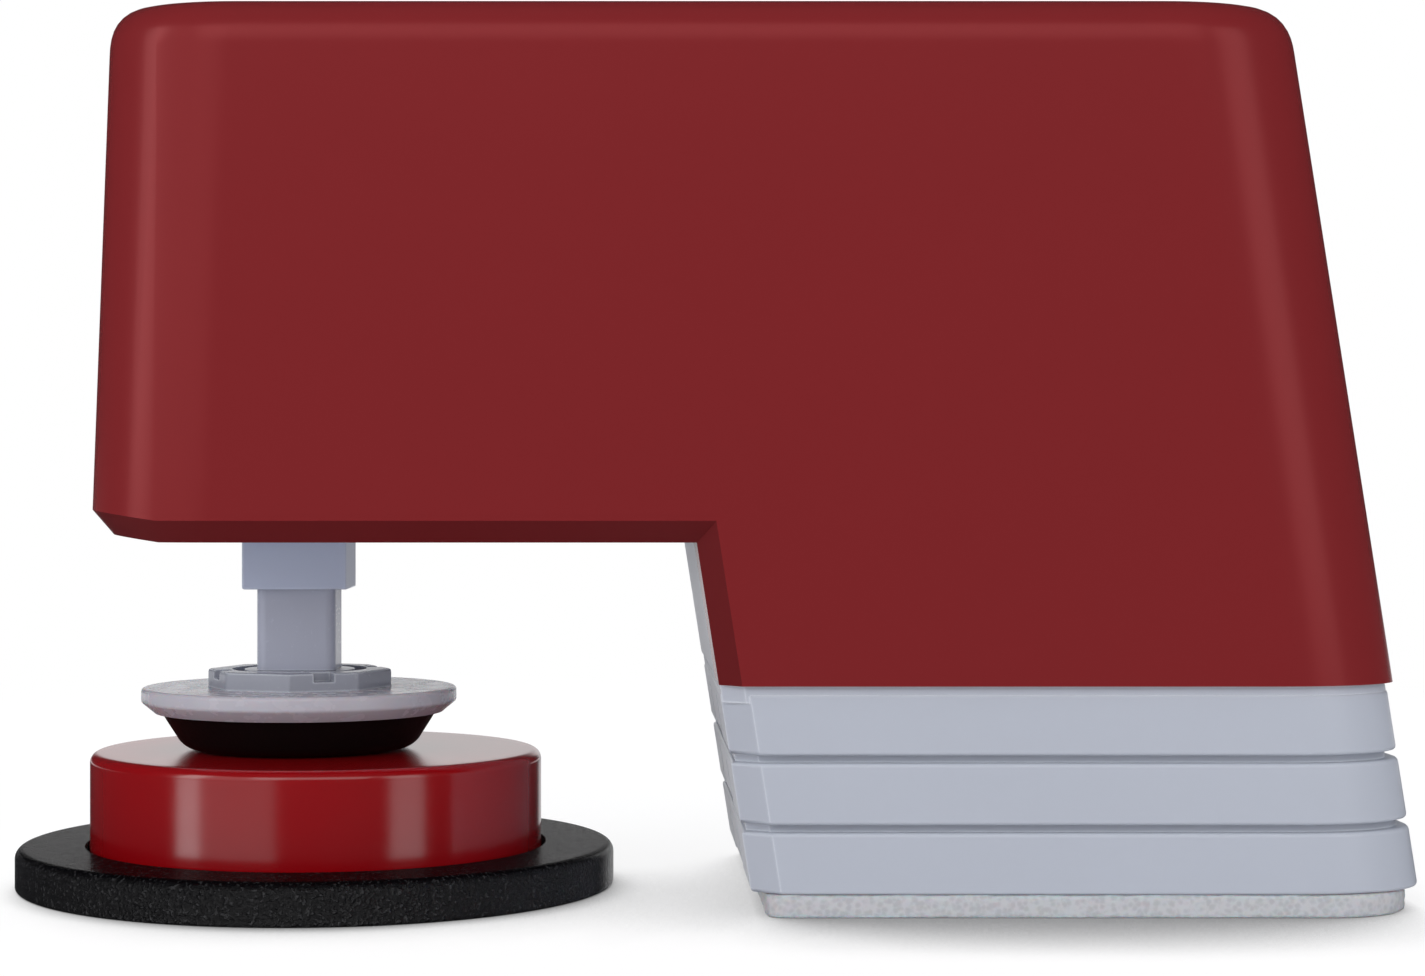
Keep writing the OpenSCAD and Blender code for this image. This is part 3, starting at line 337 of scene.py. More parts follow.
def startFinish(name, setup):
    # a material with the groups that its settings name, and the colour that they give
    material = bpy.data.materials.new(name)
    material.use_nodes = True
    finishes[name] = material
    tree = material.node_tree
    shader = tree.nodes["Principled BSDF"]
    grain = useGroup(tree, grainGroup, **setup["grain"])
    fill(tree, shader, Roughness=grain["Roughness"], Normal=grain["Normal"], **setup.get("shader", {}))
    color = None
    if "tone" in setup:
        color = useGroup(tree, toneGroup, **setup["tone"])["Color"]
        if "edge" in setup:
            color = useGroup(tree, edgeGroup, Color=color, **setup["edge"])["Color"]
        fill(tree, shader, Base_Color=color)
    return tree, shader, grain, color


# plain mouldings: one recipe, each finish with its own values

plasticBase = {
    # the rubbed edge colour and its amount are partly wear and partly a painted highlight along convex edges
    "wearAndHighlightAmount": 0.8, "radius": 0.00016, "drift": 0.05, "grain": 3600.0, "height": 0.000008, "strength": 0.2,
    "rough": 0.26, "spread": 0.08, "specular": 0.5, "tint": (1.0, 1.0, 1.0),
}

plastics = {
    "casePlastic": {
        "color": (0.190, 0.0165, 0.019), "wearAndHighlight": (0.28, 0.03, 0.035), "wearAndHighlightAmount": 0.06, "radius": 0.0002,
        "grain": 5200.0, "height": 0.000003, "strength": 0.15, "rough": 0.23, "spread": 0.05, "specular": 0.58,
        # the band colour is painted shade on the bevels under the arm and beside the button
        "tint": (1.0, 0.30, 0.30), "paintedShadeName": "paintedShadeBand", "paintedShade": (0.130, 0.0105, 0.0125), "shadeBandRough": 0.42},
    "housingPlastic": {
        "color": (0.448, 0.478, 0.548), "wearAndHighlight": (0.76, 0.79, 0.85), "radius": 0.00018,
        "drift": 0.04, "grain": 4200.0, "height": 0.000006, "rough": 0.30, "spread": 0.06},
    "guidePlastic": {
        "color": (0.49, 0.54, 0.69), "wearAndHighlight": (0.76, 0.80, 0.88), "wearAndHighlightAmount": 0.5,
        "drift": 0.04, "grain": 4200.0, "height": 0.000006, "rough": 0.30, "spread": 0.06},
    "collarPlastic": {"color": (0.315, 0.33, 0.385), "wearAndHighlight": (0.66, 0.69, 0.75)},
    "plungerPlastic": {"color": (0.435, 0.455, 0.55), "wearAndHighlight": (0.70, 0.73, 0.80)},
    "keyPlastic": {
        "color": (0.020, 0.020, 0.022), "wearAndHighlight": (0.08, 0.08, 0.085), "wearAndHighlightAmount": 0.3, "radius": 0.00015,
        "drift": 0.08, "grain": 5200.0, "height": 0.000012, "strength": 0.4, "rough": 0.42, "spread": 0.1,
        "specular": 0.45},
    "gearAcetal": {
        "color": (0.72, 0.72, 0.67), "wearAndHighlight": (0.85, 0.85, 0.82), "wearAndHighlightAmount": 0.3, "radius": 0.0001,
        "height": 0.000005, "rough": 0.32, "spread": 0.06},
    "carbonRubber": {
        "color": (0.028, 0.028, 0.028), "wearAndHighlight": (0.05, 0.05, 0.05), "wearAndHighlightAmount": 0.3, "radius": 0.0001,
        "drift": 0.1, "grain": 6000.0, "height": 0.00001, "strength": 0.5, "rough": 0.75, "spread": 0.1,
        "specular": 0.3},
}


def makePlastic(name):
    s = {**plasticBase, **plastics[name]}
    tree, shader, grain, color = startFinish(name, {
        "shader": {"Specular_IOR_Level": s["specular"], "Specular_Tint": s["tint"]},
        "tone": {"Color": s["color"], "Amount": s["drift"]},
        "edge": {"Radius": s["radius"], "WearAndHighlight": s["wearAndHighlight"], "Amount": s["wearAndHighlightAmount"]},
        "grain": {"Scale": s["grain"], "Height": s["height"], "Strength": s["strength"], "Roughness": s["rough"],
                  "Spread": s["spread"]}})
    if "paintedShade" in s:
        # painted shade: the bevel towards the button and the one under the arm get a darker colour, and a higher
        # roughness
        paintedShade = tree.nodes.new("ShaderNodeAttribute")
        paintedShade.attribute_name = s["paintedShadeName"]
        onShadeBand = paintedShade.outputs["Fac"]
        fill(tree, shader, Base_Color=mixColor(tree, onShadeBand, color, s["paintedShade"]),
             Roughness=span(tree, onShadeBand, 0.0, 1.0, grain["Roughness"], s["shadeBandRough"]))


# special finishes; their groups' values stand under the groups' own labels

capFinish = {
    "shader": {"Specular_IOR_Level": 0.8, "IOR": 1.55},
    "tone": {"Color": (0.26, 0.0006, 0.003), "Amount": 0.08, "Scale": 90.0},
    # the rubbed edge colour here is partly wear and partly a painted highlight
    "edge": {"Radius": 0.0004, "WearAndHighlight": (0.34, 0.006, 0.008), "Amount": 0.2},
    "grain": {"Scale": 900.0, "Height": 0.00001, "Strength": 0.08, "Roughness": 0.165, "Spread": 0.06},
    "top": {"Begin": 0.5, "Full": 0.95}, "topRough": 0.20,
}


def makeCapPlastic():
    # hands have dulled the top more than the side
    s = capFinish
    tree, shader, grain, color = startFinish("capPlastic", s)
    onTop = useGroup(tree, topGroup, **s["top"])["Mask"]
    fill(tree, shader, Roughness=span(tree, onTop, 0.0, 1.0, grain["Roughness"], s["topRough"]))


ringFinish = {
    "grain": {"Scale": 5000.0, "Height": 0.00028, "Strength": 1.0, "Roughness": 0.18, "Spread": 0.2},
    # the speck colour on the grain's peaks is a painted glint
    "color": (0.002, 0.0018, 0.0024), "paintedGlint": (0.033, 0.033, 0.035), "paintedGlintSpots": (0.56, 0.70),
    "top": (0.2, 0.8), "gloss": 0.4, "topGloss": 0.004,
}


def makeRingPlastic():
    # the coarse top scatters light, the side still glints; pale specks on the grain's peaks are painted glints.
    # This gloss takes no value from a group
    s = ringFinish
    tree, shader, grain, color = startFinish("ringPlastic", s)
    gloss = span(tree, upward(tree), *s["top"], s["gloss"], s["topGloss"])
    paintedGlintSpots = span(tree, grain["Grain"], *s["paintedGlintSpots"])
    fill(tree, shader, Specular_IOR_Level=gloss, Base_Color=mixColor(tree, paintedGlintSpots, s["color"], s["paintedGlint"]))


evenFinishes = {
    "bumperRubber": {
        "shader": {"Specular_IOR_Level": 0.16},
        "tone": {"Color": (0.0035, 0.0022, 0.0024), "Amount": 0.5, "Scale": 400.0},
        "grain": {"Scale": 2600.0, "Height": 0.00003, "Strength": 0.5, "Roughness": 0.52, "Spread": 0.2}},
    "pipeAcrylic": {
        "shader": {"Transmission_Weight": 0.85, "IOR": 1.49},
        "tone": {"Color": (0.90, 0.93, 0.95), "Amount": 0.05, "Scale": 300.0},
        "grain": {"Scale": 3000.0, "Height": 0.00001, "Strength": 0.2, "Roughness": 0.14, "Spread": 0.1}},
}

discFinish = {
    "shader": {"Specular_IOR_Level": 0.45, "Subsurface_Weight": 0.25, "Subsurface_Scale": 0.001},
    "grain": {"Scale": 900.0, "Height": 0.00003, "Strength": 0.3, "Roughness": 0.26, "Spread": 0.3},
    # the cloud colour on the top faces is a painted reflection
    "color": (0.46, 0.45, 0.505), "paintedTopReflection": (0.55, 0.54, 0.58), "reflectionPatches": (0.4, 0.65),
    "top": {"Begin": 0.6, "Full": 0.95},
}


def makeDiscPlastic():
    # natural nylon: a little light passes through; the top faces get a paler mottle, a painted reflection
    s = discFinish
    tree, shader, grain, color = startFinish("discPlastic", s)
    onTop = useGroup(tree, topGroup, **s["top"])["Mask"]
    topReflection = maths(tree, "MULTIPLY", span(tree, grain["Grain"], *s["reflectionPatches"]), onTop)
    fill(tree, shader, Base_Color=mixColor(tree, topReflection, s["color"], s["paintedTopReflection"]))


foamFinish = {
    "shader": {"Subsurface_Weight": 0.5, "Subsurface_Scale": 0.0015},
    "grain": {"Scale": 3400.0, "Height": 0.00004, "Strength": 0.5, "Roughness": 0.36, "Spread": 0.3},
    "color": (0.455, 0.46, 0.485), "bubble": (0.54, 0.545, 0.57), "scale": 3200.0, "bubbles": (0.12, 0.34),
}


def makeTapeFoam():
    # frosted gel foam: pale bubbles in a greyer body
    s = foamFinish
    tree, shader, grain, color = startFinish("tapeFoam", s)
    place = addNode(tree, "TexCoord").outputs["Object"]
    cells = addNode(tree, "TexVoronoi", Vector=place, Scale=s["scale"]).outputs["Distance"]
    bubbles = span(tree, maths(tree, "MULTIPLY", cells, grain["Grain"]), *s["bubbles"])
    fill(tree, shader, Base_Color=mixColor(tree, bubbles, s["color"], s["bubble"]))


metalGrain = {"Scale": 2600.0, "Height": 0.000005, "Strength": 0.15, "Spread": 0.2}
metals = {
    # colour, worn colour, roughness, brushing scale along each axis
    "brightSteel": ((0.58, 0.59, 0.61), (0.46, 0.47, 0.49), 0.28, (900.0, 900.0, 9000.0)),
    "motorSteel": ((0.50, 0.51, 0.54), (0.38, 0.39, 0.42), 0.34, (9000.0, 700.0, 700.0)),
    "turnedBrass": ((0.70, 0.48, 0.20), (0.48, 0.30, 0.12), 0.30, (800.0, 6000.0, 800.0)),
}


def makeMetal(name):
    bright, worn, rough, scales = metals[name]
    tree, shader, grain, color = startFinish(
        name, {"shader": {"Metallic": 1.0}, "grain": {**metalGrain, "Roughness": rough}})
    place = addNode(tree, "TexCoord").outputs["Object"]
    stretched = addNode(tree, "VectorMath", place, scales, operation="MULTIPLY").outputs[0]
    brush = addNode(tree, "TexNoise", Vector=stretched, Scale=1.0, Detail=3).outputs["Fac"]
    fill(tree, shader, Base_Color=mixColor(tree, brush, worn, bright))


boardFinish = {
    "grain": {"Scale": 2000.0, "Roughness": 0.32, "Spread": 0.12}, "relief": {"Distance": 0.00003, "Strength": 0.6},
    "mask": (0.012, 0.085, 0.040), "trace": (0.030, 0.17, 0.080), "pitch": 420.0, "line": (0.10, 0.06),
}


def makeBoardMask():
    # solder mask with paler lines where copper runs under it
    s = boardFinish
    tree, shader, grain, color = startFinish("boardMask", s)
    place = addNode(tree, "TexCoord").outputs["Object"]
    lanes = addNode(tree, "TexVoronoi", Vector=place, Scale=s["pitch"])
    lanes.feature = "DISTANCE_TO_EDGE"
    lines = span(tree, lanes.outputs["Distance"], *s["line"])
    bump = addNode(tree, "Bump", Height=lines, **s["relief"])
    fill(tree, shader, Base_Color=mixColor(tree, lines, s["mask"], s["trace"]), Normal=bump.outputs["Normal"])


cellFinish = {
    "tone": {"Color": (0.06, 0.14, 0.28), "Amount": 0.15, "Scale": 160.0},
    "grain": {"Scale": 700.0, "Height": 0.00002, "Strength": 0.15, "Roughness": 0.26, "Spread": 0.12},
    "metal": (0.62, 0.63, 0.65), "lean": math.radians(8.9), "lip": 1.1, "fade": 0.1,
}


def makeCellSleeve():
    # plain shrink sleeve; the two ends of the cell stay bare metal
    s = cellFinish
    tree, shader, grain, sleeve = startFinish("cellSleeve", s)
    axis = Vector((-math.sin(s["lean"]), 0, math.cos(s["lean"])))
    place = addNode(tree, "TexCoord").outputs["Object"]
    along = addNode(tree, "VectorMath", place, axis, operation="DOT_PRODUCT").outputs["Value"]
    ends = sorted(axis.dot(v.co) for v in nodes["battery"].data.vertices)
    nearEnd = [span(tree, along, end + side * s["lip"] * mm, end + side * (s["lip"] - s["fade"]) * mm)
               for end, side in ((ends[0], 1), (ends[-1], -1))]
    bare = maths(tree, "MAXIMUM", *nearEnd)
    fill(tree, shader, Base_Color=mixColor(tree, bare, sleeve, s["metal"]), Metallic=bare)


for name in plastics:
    makePlastic(name)
for name in metals:
    makeMetal(name)
for name, setup in evenFinishes.items():
    startFinish(name, setup)
for maker in (makeCapPlastic, makeRingPlastic, makeDiscPlastic, makeTapeFoam, makeBoardMask, makeCellSleeve):
    maker()
print("finishes:", len(finishes))


# mesh tools, in millimetres

past = 1.0      # how far a tool reaches beyond the face that it cuts
sunk = 0.5      # how far a joined piece reaches into the other one


def cornerPoints(before, point, after, radius, steps):
    a = (Vector(before) - Vector(point)).normalized()
    b = (Vector(after) - Vector(point)).normalized()
    half = a.angle(b) / 2
    centre = Vector(point) + (a + b).normalized() * (radius / math.sin(half))
    start = Vector(point) + a * (radius / math.tan(half)) - centre
    end = Vector(point) + b * (radius / math.tan(half)) - centre
    first = math.atan2(start.y, start.x)
    sweep = (math.atan2(end.y, end.x) - first + math.pi) % (2 * math.pi) - math.pi
    return [(centre.x + radius * math.cos(first + sweep * i / steps),
             centre.y + radius * math.sin(first + sweep * i / steps)) for i in range(steps + 1)]


def roundedPoints(points, radii, steps):
    made = []
    count = len(points)
    for i, point in enumerate(points):
        if radii[i] < 0.01:
            made.append(tuple(point))
        else:
            made += cornerPoints(points[i - 1], point, points[(i + 1) % count], radii[i], steps)
    return made


def joinRings(bm, first, last):
    count = len(first)
    for i in range(count):
        j = (i + 1) % count
        bm.faces.new((first[i], first[j], last[j], last[i]))


def prism(bm, outline, low, high, axis="Y"):
    # outline in the other two axes, pushed along the named one
    def place(point, depth):
        return (point[0], depth, point[1]) if axis == "Y" else (point[0], point[1], depth)
    first = [bm.verts.new(place(p, low)) for p in outline]
    last = [bm.verts.new(place(p, high)) for p in outline]
    bm.faces.new(first)
    bm.faces.new(last[::-1])
    joinRings(bm, first, last)
    bmesh.ops.recalc_face_normals(bm, faces=bm.faces)
    return bm


def circle(centre, radius, sides):
    return [(centre[0] + radius * math.cos(2 * math.pi * i / sides),
             centre[1] + radius * math.sin(2 * math.pi * i / sides)) for i in range(sides)]


def lathe(profile, centre, segments):
    # a closed profile of (radius, height) turned about an upright axis
    bm = bmesh.new()
    rings = []
    for radius, height in profile:
        if radius < 1e-6:
            rings.append([bm.verts.new((*centre, height))])
        else:
            rings.append([bm.verts.new((*point, height)) for point in circle(centre, radius, segments)])
    for k, ring in enumerate(rings):
        other = rings[(k + 1) % len(rings)]
        for i in range(segments):
            j = (i + 1) % segments
            if len(ring) > 1 and len(other) > 1:
                bm.faces.new((ring[i], ring[j], other[j], other[i]))
            elif len(ring) > 1:
                bm.faces.new((ring[i], ring[j], other[0]))
            elif len(other) > 1:
                bm.faces.new((ring[0], other[j], other[i]))
    bmesh.ops.recalc_face_normals(bm, faces=bm.faces)
    return bm


def bevelWhere(bm, test, offset, segments, profile=0.5):
    edges = [e for e in bm.edges if test(e.verts[0].co, e.verts[1].co)]
    bmesh.ops.bevel(bm, geom=edges, offset=offset, offset_type="OFFSET", segments=segments, profile=profile,
                    affect="EDGES", clamp_overlap=False)


def toObject(name, bm, scale=mm):
    bmesh.ops.recalc_face_normals(bm, faces=bm.faces)
    mesh = bpy.data.meshes.new(name)
    bm.to_mesh(mesh)
    bm.free()
    for vertex in mesh.vertices:
        vertex.co = vertex.co * scale
    piece = bpy.data.objects.new(name, mesh)
    collection.objects.link(piece)
    return piece


def applyModifiers(piece):
    view = bpy.context.evaluated_depsgraph_get()
    view.update()
    mesh = bpy.data.meshes.new_from_object(piece.evaluated_get(view))
    old = piece.data
    piece.modifiers.clear()
    piece.data = mesh
    bpy.data.meshes.remove(old)


def cutWith(piece, tool, operation="DIFFERENCE"):
    # the tool is a mesh being built, or an object; it is used up
    if isinstance(tool, bmesh.types.BMesh):
        tool = toObject("tool", tool)
    modifier = piece.modifiers.new("cut", "BOOLEAN")
    modifier.operation = operation
    modifier.solver = "EXACT"
    modifier.object = tool
    applyModifiers(piece)
    bpy.data.objects.remove(tool)


def smoothByAngle(piece, degrees):
    piece.data.shade_smooth()
    piece.data.set_sharp_from_angle(angle=math.radians(degrees))
    modifier = piece.modifiers.new("faceNormals", "WEIGHTED_NORMAL")
    modifier.keep_sharp = True
    modifier.weight = 100
    applyModifiers(piece)


def dress(piece, finish, body, replaced, degrees=30):
    piece.data.materials.clear()
    piece.data.materials.append(finishes[finish])
    smoothByAngle(piece, degrees)
    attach(piece, body)
    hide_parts(*replaced)
    print("piece:", piece.name, len(piece.data.polygons), "faces")


easing = {"segments": 2, "angle": math.radians(28), "weld": 2e-6, "flat": math.radians(0.6)}


def softenedCopy(name, nodeName, width, reshape=None):
    # the frame's own part with its hard edges eased, as a mould leaves them
    bm = bmesh.new()
    bm.from_mesh(nodes[nodeName].data)
    bmesh.ops.remove_doubles(bm, verts=bm.verts, dist=easing["weld"])
    bmesh.ops.dissolve_limit(bm, angle_limit=easing["flat"], verts=bm.verts, edges=bm.edges)
    if reshape:
        reshape(bm)
    piece = toObject(name, bm, 1.0)
    modifier = piece.modifiers.new("ease", "BEVEL")
    modifier.limit_method = "ANGLE"
    modifier.angle_limit = easing["angle"]
    modifier.width = width * mm
    modifier.segments = easing["segments"]
    modifier.use_clamp_overlap = True
    modifier.miter_outer = "MITER_ARC"
    applyModifiers(piece)
    return piece


# front cover

caseShape = {
    "lean": math.radians(8.9), "legShift": 0.34, "legHalf": 17.95,
    "endLean": math.radians(2.1), "armLeft": -52.7, "armBottom": 19.4,
    "low": 12.0, "top": 47.7, "front": -13.8, "split": -7.3,
    "frontRound": 7.0, "roundDepth": 4.7, "topRound": 2.5, "rimProfile": 0.58, "chamfer": 1.15,
    "wall": 1.6, "faceWall": 1.8, "floorWall": 2.7,
    "rampStart": -48.7, "ramp": 0.138, "rampTop": 20.9,
    "screws": ((-48.2, 26.55), (-47.75, 43.2), (-15.56, 17.95), (-11.3, 43.65)),
    "bossRadius": 1.7, "bossInset": 0.6, "bossHole": 0.82, "holeDepth": 5.1,
}


def legSide(z, side):
    return caseShape["legShift"] + side * caseShape["legHalf"] - z * math.tan(caseShape["lean"])


def armSide(z):
    return caseShape["armLeft"] + (z - caseShape["armBottom"]) * math.tan(caseShape["endLean"])


def caseOutline(inset=0.0, floorInset=0.0):
    side = inset / math.cos(caseShape["lean"])
    end = inset / math.cos(caseShape["endLean"])
    top = caseShape["top"] - inset
    under = caseShape["armBottom"] + inset
    low = caseShape["low"] + floorInset
    return [(armSide(under) + end, under), (armSide(top) + end, top), (legSide(top, 1) - side, top),
            (legSide(low, 1) - side, low), (legSide(low, -1) + side, low), (legSide(under, -1) + side, under)]


def caseBlock(front, back, inset, floorInset, chamfer, steps):
    wide, deep = caseShape["frontRound"] - inset, caseShape["roundDepth"] - inset
    spare = front + wide + 2 * past
    bm = prism(bmesh.new(), caseOutline(inset, floorInset), front, spare)
    top = caseShape["top"] - inset
    under = caseShape["armBottom"] + inset
    shift = inset / math.cos(caseShape["lean"])
    near = 0.02

    def upright(a, b):
        if abs(a.y - front) > near or abs(b.y - front) > near or abs(a.z - b.z) < 1:
            return False
        onLeg = all(abs(v.x - (legSide(v.z, 1) - shift)) < near for v in (a, b))
        onEnd = all(v.x < caseShape["armLeft"] + inset + 3 for v in (a, b))
        return onLeg or onEnd

    def rim(a, b):
        return all(abs(v.z - top) < near for v in (a, b)) and min(a.y, b.y) < back - near

    def facing(a, b):
        if all(abs(v.z - under) < near for v in (a, b)):
            corner = all(abs(v.x - (legSide(under, -1) + shift)) < near for v in (a, b))
            return min(a.y, b.y) < back - near and not corner
        return all(abs(v.x - (legSide(v.z, -1) + shift)) < near and abs(v.y - front) < near for v in (a, b))

    bevelWhere(bm, upright, wide, steps)
    for vertex in bm.verts:                      # the roundings are wider than they are deep
        if vertex.co.y > spare - near:
            vertex.co.y = back
        else:
            vertex.co.y = front + (vertex.co.y - front) * deep / wide
    bevelWhere(bm, rim, caseShape["topRound"] - inset, max(steps * 2 // 3, 3), caseShape["rimProfile"])
    if chamfer:
        bevelWhere(bm, facing, chamfer, 1)
    return bm


def rampUnder(bm, unit=1.0):
    # the arm's underside climbs a little over its last few millimetres to the free end
    start = caseShape["rampStart"] * unit
    geometry = bm.verts[:] + bm.edges[:] + bm.faces[:]
    bmesh.ops.bisect_plane(bm, geom=geometry, plane_co=(start, 0, 0), plane_no=(1, 0, 0), dist=1e-5 * unit)
    for vertex in bm.verts:
        if vertex.co.x < start and caseShape["low"] * unit < vertex.co.z < caseShape["rampTop"] * unit:
            vertex.co.z += (start - vertex.co.x) * caseShape["ramp"]


# which way the faces of the painted-shade band look, and how far they lie from the edges of the bevel, in
# millimetres
paintedShadeRule = {"under": (-0.9, -0.35), "side": -0.5, "frontGap": 0.05, "beyond": 0.6, "rise": 0.3, "legFrom": -30}


def markPaintedShade(piece):
    # remembers which faces get the painted shade: the bevel that looks at the button and the one under the arm
    mesh = piece.data
    rule = paintedShadeRule
    paintedShade = mesh.attributes.new(plastics["casePlastic"]["paintedShadeName"], "FLOAT", "FACE")
    front = (caseShape["front"] + rule["frontGap"]) * mm
    back = (caseShape["front"] + caseShape["chamfer"] + rule["beyond"]) * mm
    for face in mesh.polygons:
        normal, centre = face.normal, face.center
        under = rule["under"][0] < normal.z < rule["under"][1] and (
            caseShape["armBottom"] * mm < centre.z < (caseShape["rampTop"] + rule["rise"]) * mm)
        onLeg = (normal.x < rule["side"] and normal.y < rule["side"] and front < centre.y < back
                 and centre.x > rule["legFrom"] * mm)
        inside = centre.x > legSide(centre.z / mm, 1) * mm
        if (under or onLeg) and not inside:
            paintedShade.data[face.index].value = 1.0


def barsY(points, radius, y0, y1):
    bm = bmesh.new()
    for point in points:
        prism(bm, circle(point, radius, 32), y0, y1)
    return bm


def boxTool(low, high):
    outline = [(low[0], low[1]), (high[0], low[1]), (high[0], high[1]), (low[0], high[1])]
    return prism(bmesh.new(), outline, low[2], high[2], "Z")


def leaningPlan(z, points):
    # a plan drawn about the leg's centre line, at a height
    centre = caseShape["legShift"] - z * math.tan(caseShape["lean"])
    return [(centre + x, y) for x, y in points]


def leaningBlock(plan, z0, z1):
    bm = bmesh.new()
    low = [bm.verts.new((x, y, z0)) for x, y in leaningPlan(z0, plan)]
    high = [bm.verts.new((x, y, z1)) for x, y in leaningPlan(z1, plan)]
    bm.faces.new(low[::-1])
    bm.faces.new(high)
    joinRings(bm, low, high)
    bmesh.ops.recalc_face_normals(bm, faces=bm.faces)
    return bm


tongueShape = {"inset": 4.5, "round": 1.5, "height": 1.0, "pocket": 1.1, "gap": 0.1}


def tonguePlan(grow):
    x = caseShape["legHalf"] - tongueShape["inset"] / math.cos(caseShape["lean"]) + grow
    y = -caseShape["front"] - tongueShape["inset"] + grow
    return roundedPoints([(-x, -y), (x, -y), (x, y), (-x, y)], [tongueShape["round"]] * 4, 6)


def makeFrontCover():
    s = caseShape
    front, split, low = s["front"], s["split"], s["low"]
    outer = caseBlock(front, split, 0, 0, s["chamfer"], 16)
    rampUnder(outer)
    piece = toObject("frontCover", outer)
    cutWith(piece, caseBlock(front + s["faceWall"], split + past, s["wall"], s["floorWall"], 0, 6))
    bosses = toObject("tool", barsY(s["screws"], s["bossRadius"], front + s["faceWall"] - sunk, split))
    cutWith(bosses, caseBlock(front + s["bossInset"], split, s["wall"] / 2, s["floorWall"] / 2, 0, 4), "INTERSECT")
    cutWith(piece, bosses, "UNION")
    cutWith(piece, barsY(s["screws"], s["bossHole"], split - s["holeDepth"], split + past))
    cutWith(piece, leaningBlock(tonguePlan(tongueShape["gap"]), low - past, low + tongueShape["pocket"]))
    dress(piece, "casePlastic", "case", ["front_cover"], 24)
    markPaintedShade(piece)


makeFrontCover()


# rear housing, door and what shows on the back

def makeRearParts():
    housing = softenedCopy("rearHousing", "rear_housing", 0.12, reshape=lambda bm: rampUnder(bm, mm))
    dress(housing, "housingPlastic", "case", ["rear_housing"])
    dress(softenedCopy("batteryDoor", "battery_door", 0.12), "housingPlastic", "door", ["battery_door"])
    dress(softenedCopy("coverScrews", "cover_screws", 0.08), "brightSteel", "case", ["cover_screws"])


makeRearParts()

keyShape = {
    "x": -17.0, "z": 36.05, "radius": 1.6, "flange": 2.3, "flangeDepth": 0.5, "round": 0.3, "roundFrom": 0.5,
    "dish": ((0, 0.12), (0.35, 0.096), (0.62, 0.03)),       # share of the radius, depth
}
pipeShape = {"dome": 0.03, "domeFrom": 0.5, "edge": 0.08, "round": 0.12}


def turnToY(bm, x, z):
    # a lathe made about Z at the origin, laid along Y at (x, z)
    for vertex in bm.verts:
        px, py, pz = vertex.co
        vertex.co = (x + px, pz, z + py)
    return bm


def makePairingKey():
    low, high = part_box("pairing_button")
    back, front = high.y / mm, low.y / mm
    s = keyShape
    r, shelf = s["radius"], front + s["flangeDepth"]
    profile = [(r * share, back - depth) for share, depth in s["dish"]]
    profile += cornerPoints((r * s["roundFrom"], back), (r, back), (r, front), s["round"], 5)
    profile += [(r, shelf), (s["flange"], shelf), (s["flange"], front), (0, front)]
    bm = turnToY(lathe(profile, (0, 0), 48), s["x"], s["z"])
    dress(toObject("pairingKey", bm), "keyPlastic", "pairing_key", ["pairing_button"])


def makeLightPipe():
    low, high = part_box("light_pipe")
    back, front = high.y / mm, low.y / mm
    s = pipeShape
    r = (high.x - low.x) / 2 / mm
    shoulder = (r * s["domeFrom"], back - s["dome"])
    profile = [(0, back), shoulder]
    profile += cornerPoints(shoulder, (r, back - s["edge"]), (r, front), s["round"], 3)
    profile += [(r, front), (0, front)]
    centre = (low + high) / 2 / mm
    bm = turnToY(lathe(profile, (0, 0), 32), centre.x, centre.z)
    dress(toObject("lightPipe", bm), "pipeAcrylic", "case", ["light_pipe"])


makePairingKey()
makeLightPipe()
print("stage: rear parts")


# spacers and foam pad

spacerShape = {
    "inset": 0.3, "height": 3.2, "groove": 0.4, "grooveDepth": (0.62, 0.62, 0.06), "leftGroove": 0.25, "foam": 1.2,
    "frontRound": 6.6, "roundDepth": 4.7, "rearRound": 1.7, "cutX": 1.5, "cutY": 1.15, "neckCut": 0.3,
    "ease": 0.22, "tongueSunk": 0.3, "tabWidth": 9.0, "tabRise": 0.5, "slotWidth": 0.7, "slotDepth": 0.7,
    "slotTop": 0.6,
}


def spacerPlan(inset, cutX, cutY):
    half = caseShape["legHalf"]
    right = half - inset / math.cos(caseShape["lean"])
    left = -half + min(inset - spacerShape["inset"], spacerShape["leftGroove"]) / math.cos(caseShape["lean"])
    y = -caseShape["front"] - inset
    shrink = inset - spacerShape["inset"]
    wide, deep = spacerShape["frontRound"] - shrink, spacerShape["roundDepth"] - shrink
    front = [(px, (py + y) * deep / wide - y)
             for px, py in cornerPoints((left, -y), (right, -y), (right, y), wide, 16)]
    rear = cornerPoints((right, -y), (right, y), (left, y), spacerShape["rearRound"] - shrink, 8)
    return [(left + cutX, -y)] + front + rear + [(left + cutX, y), (left, y - cutY), (left, -y + cutY)]


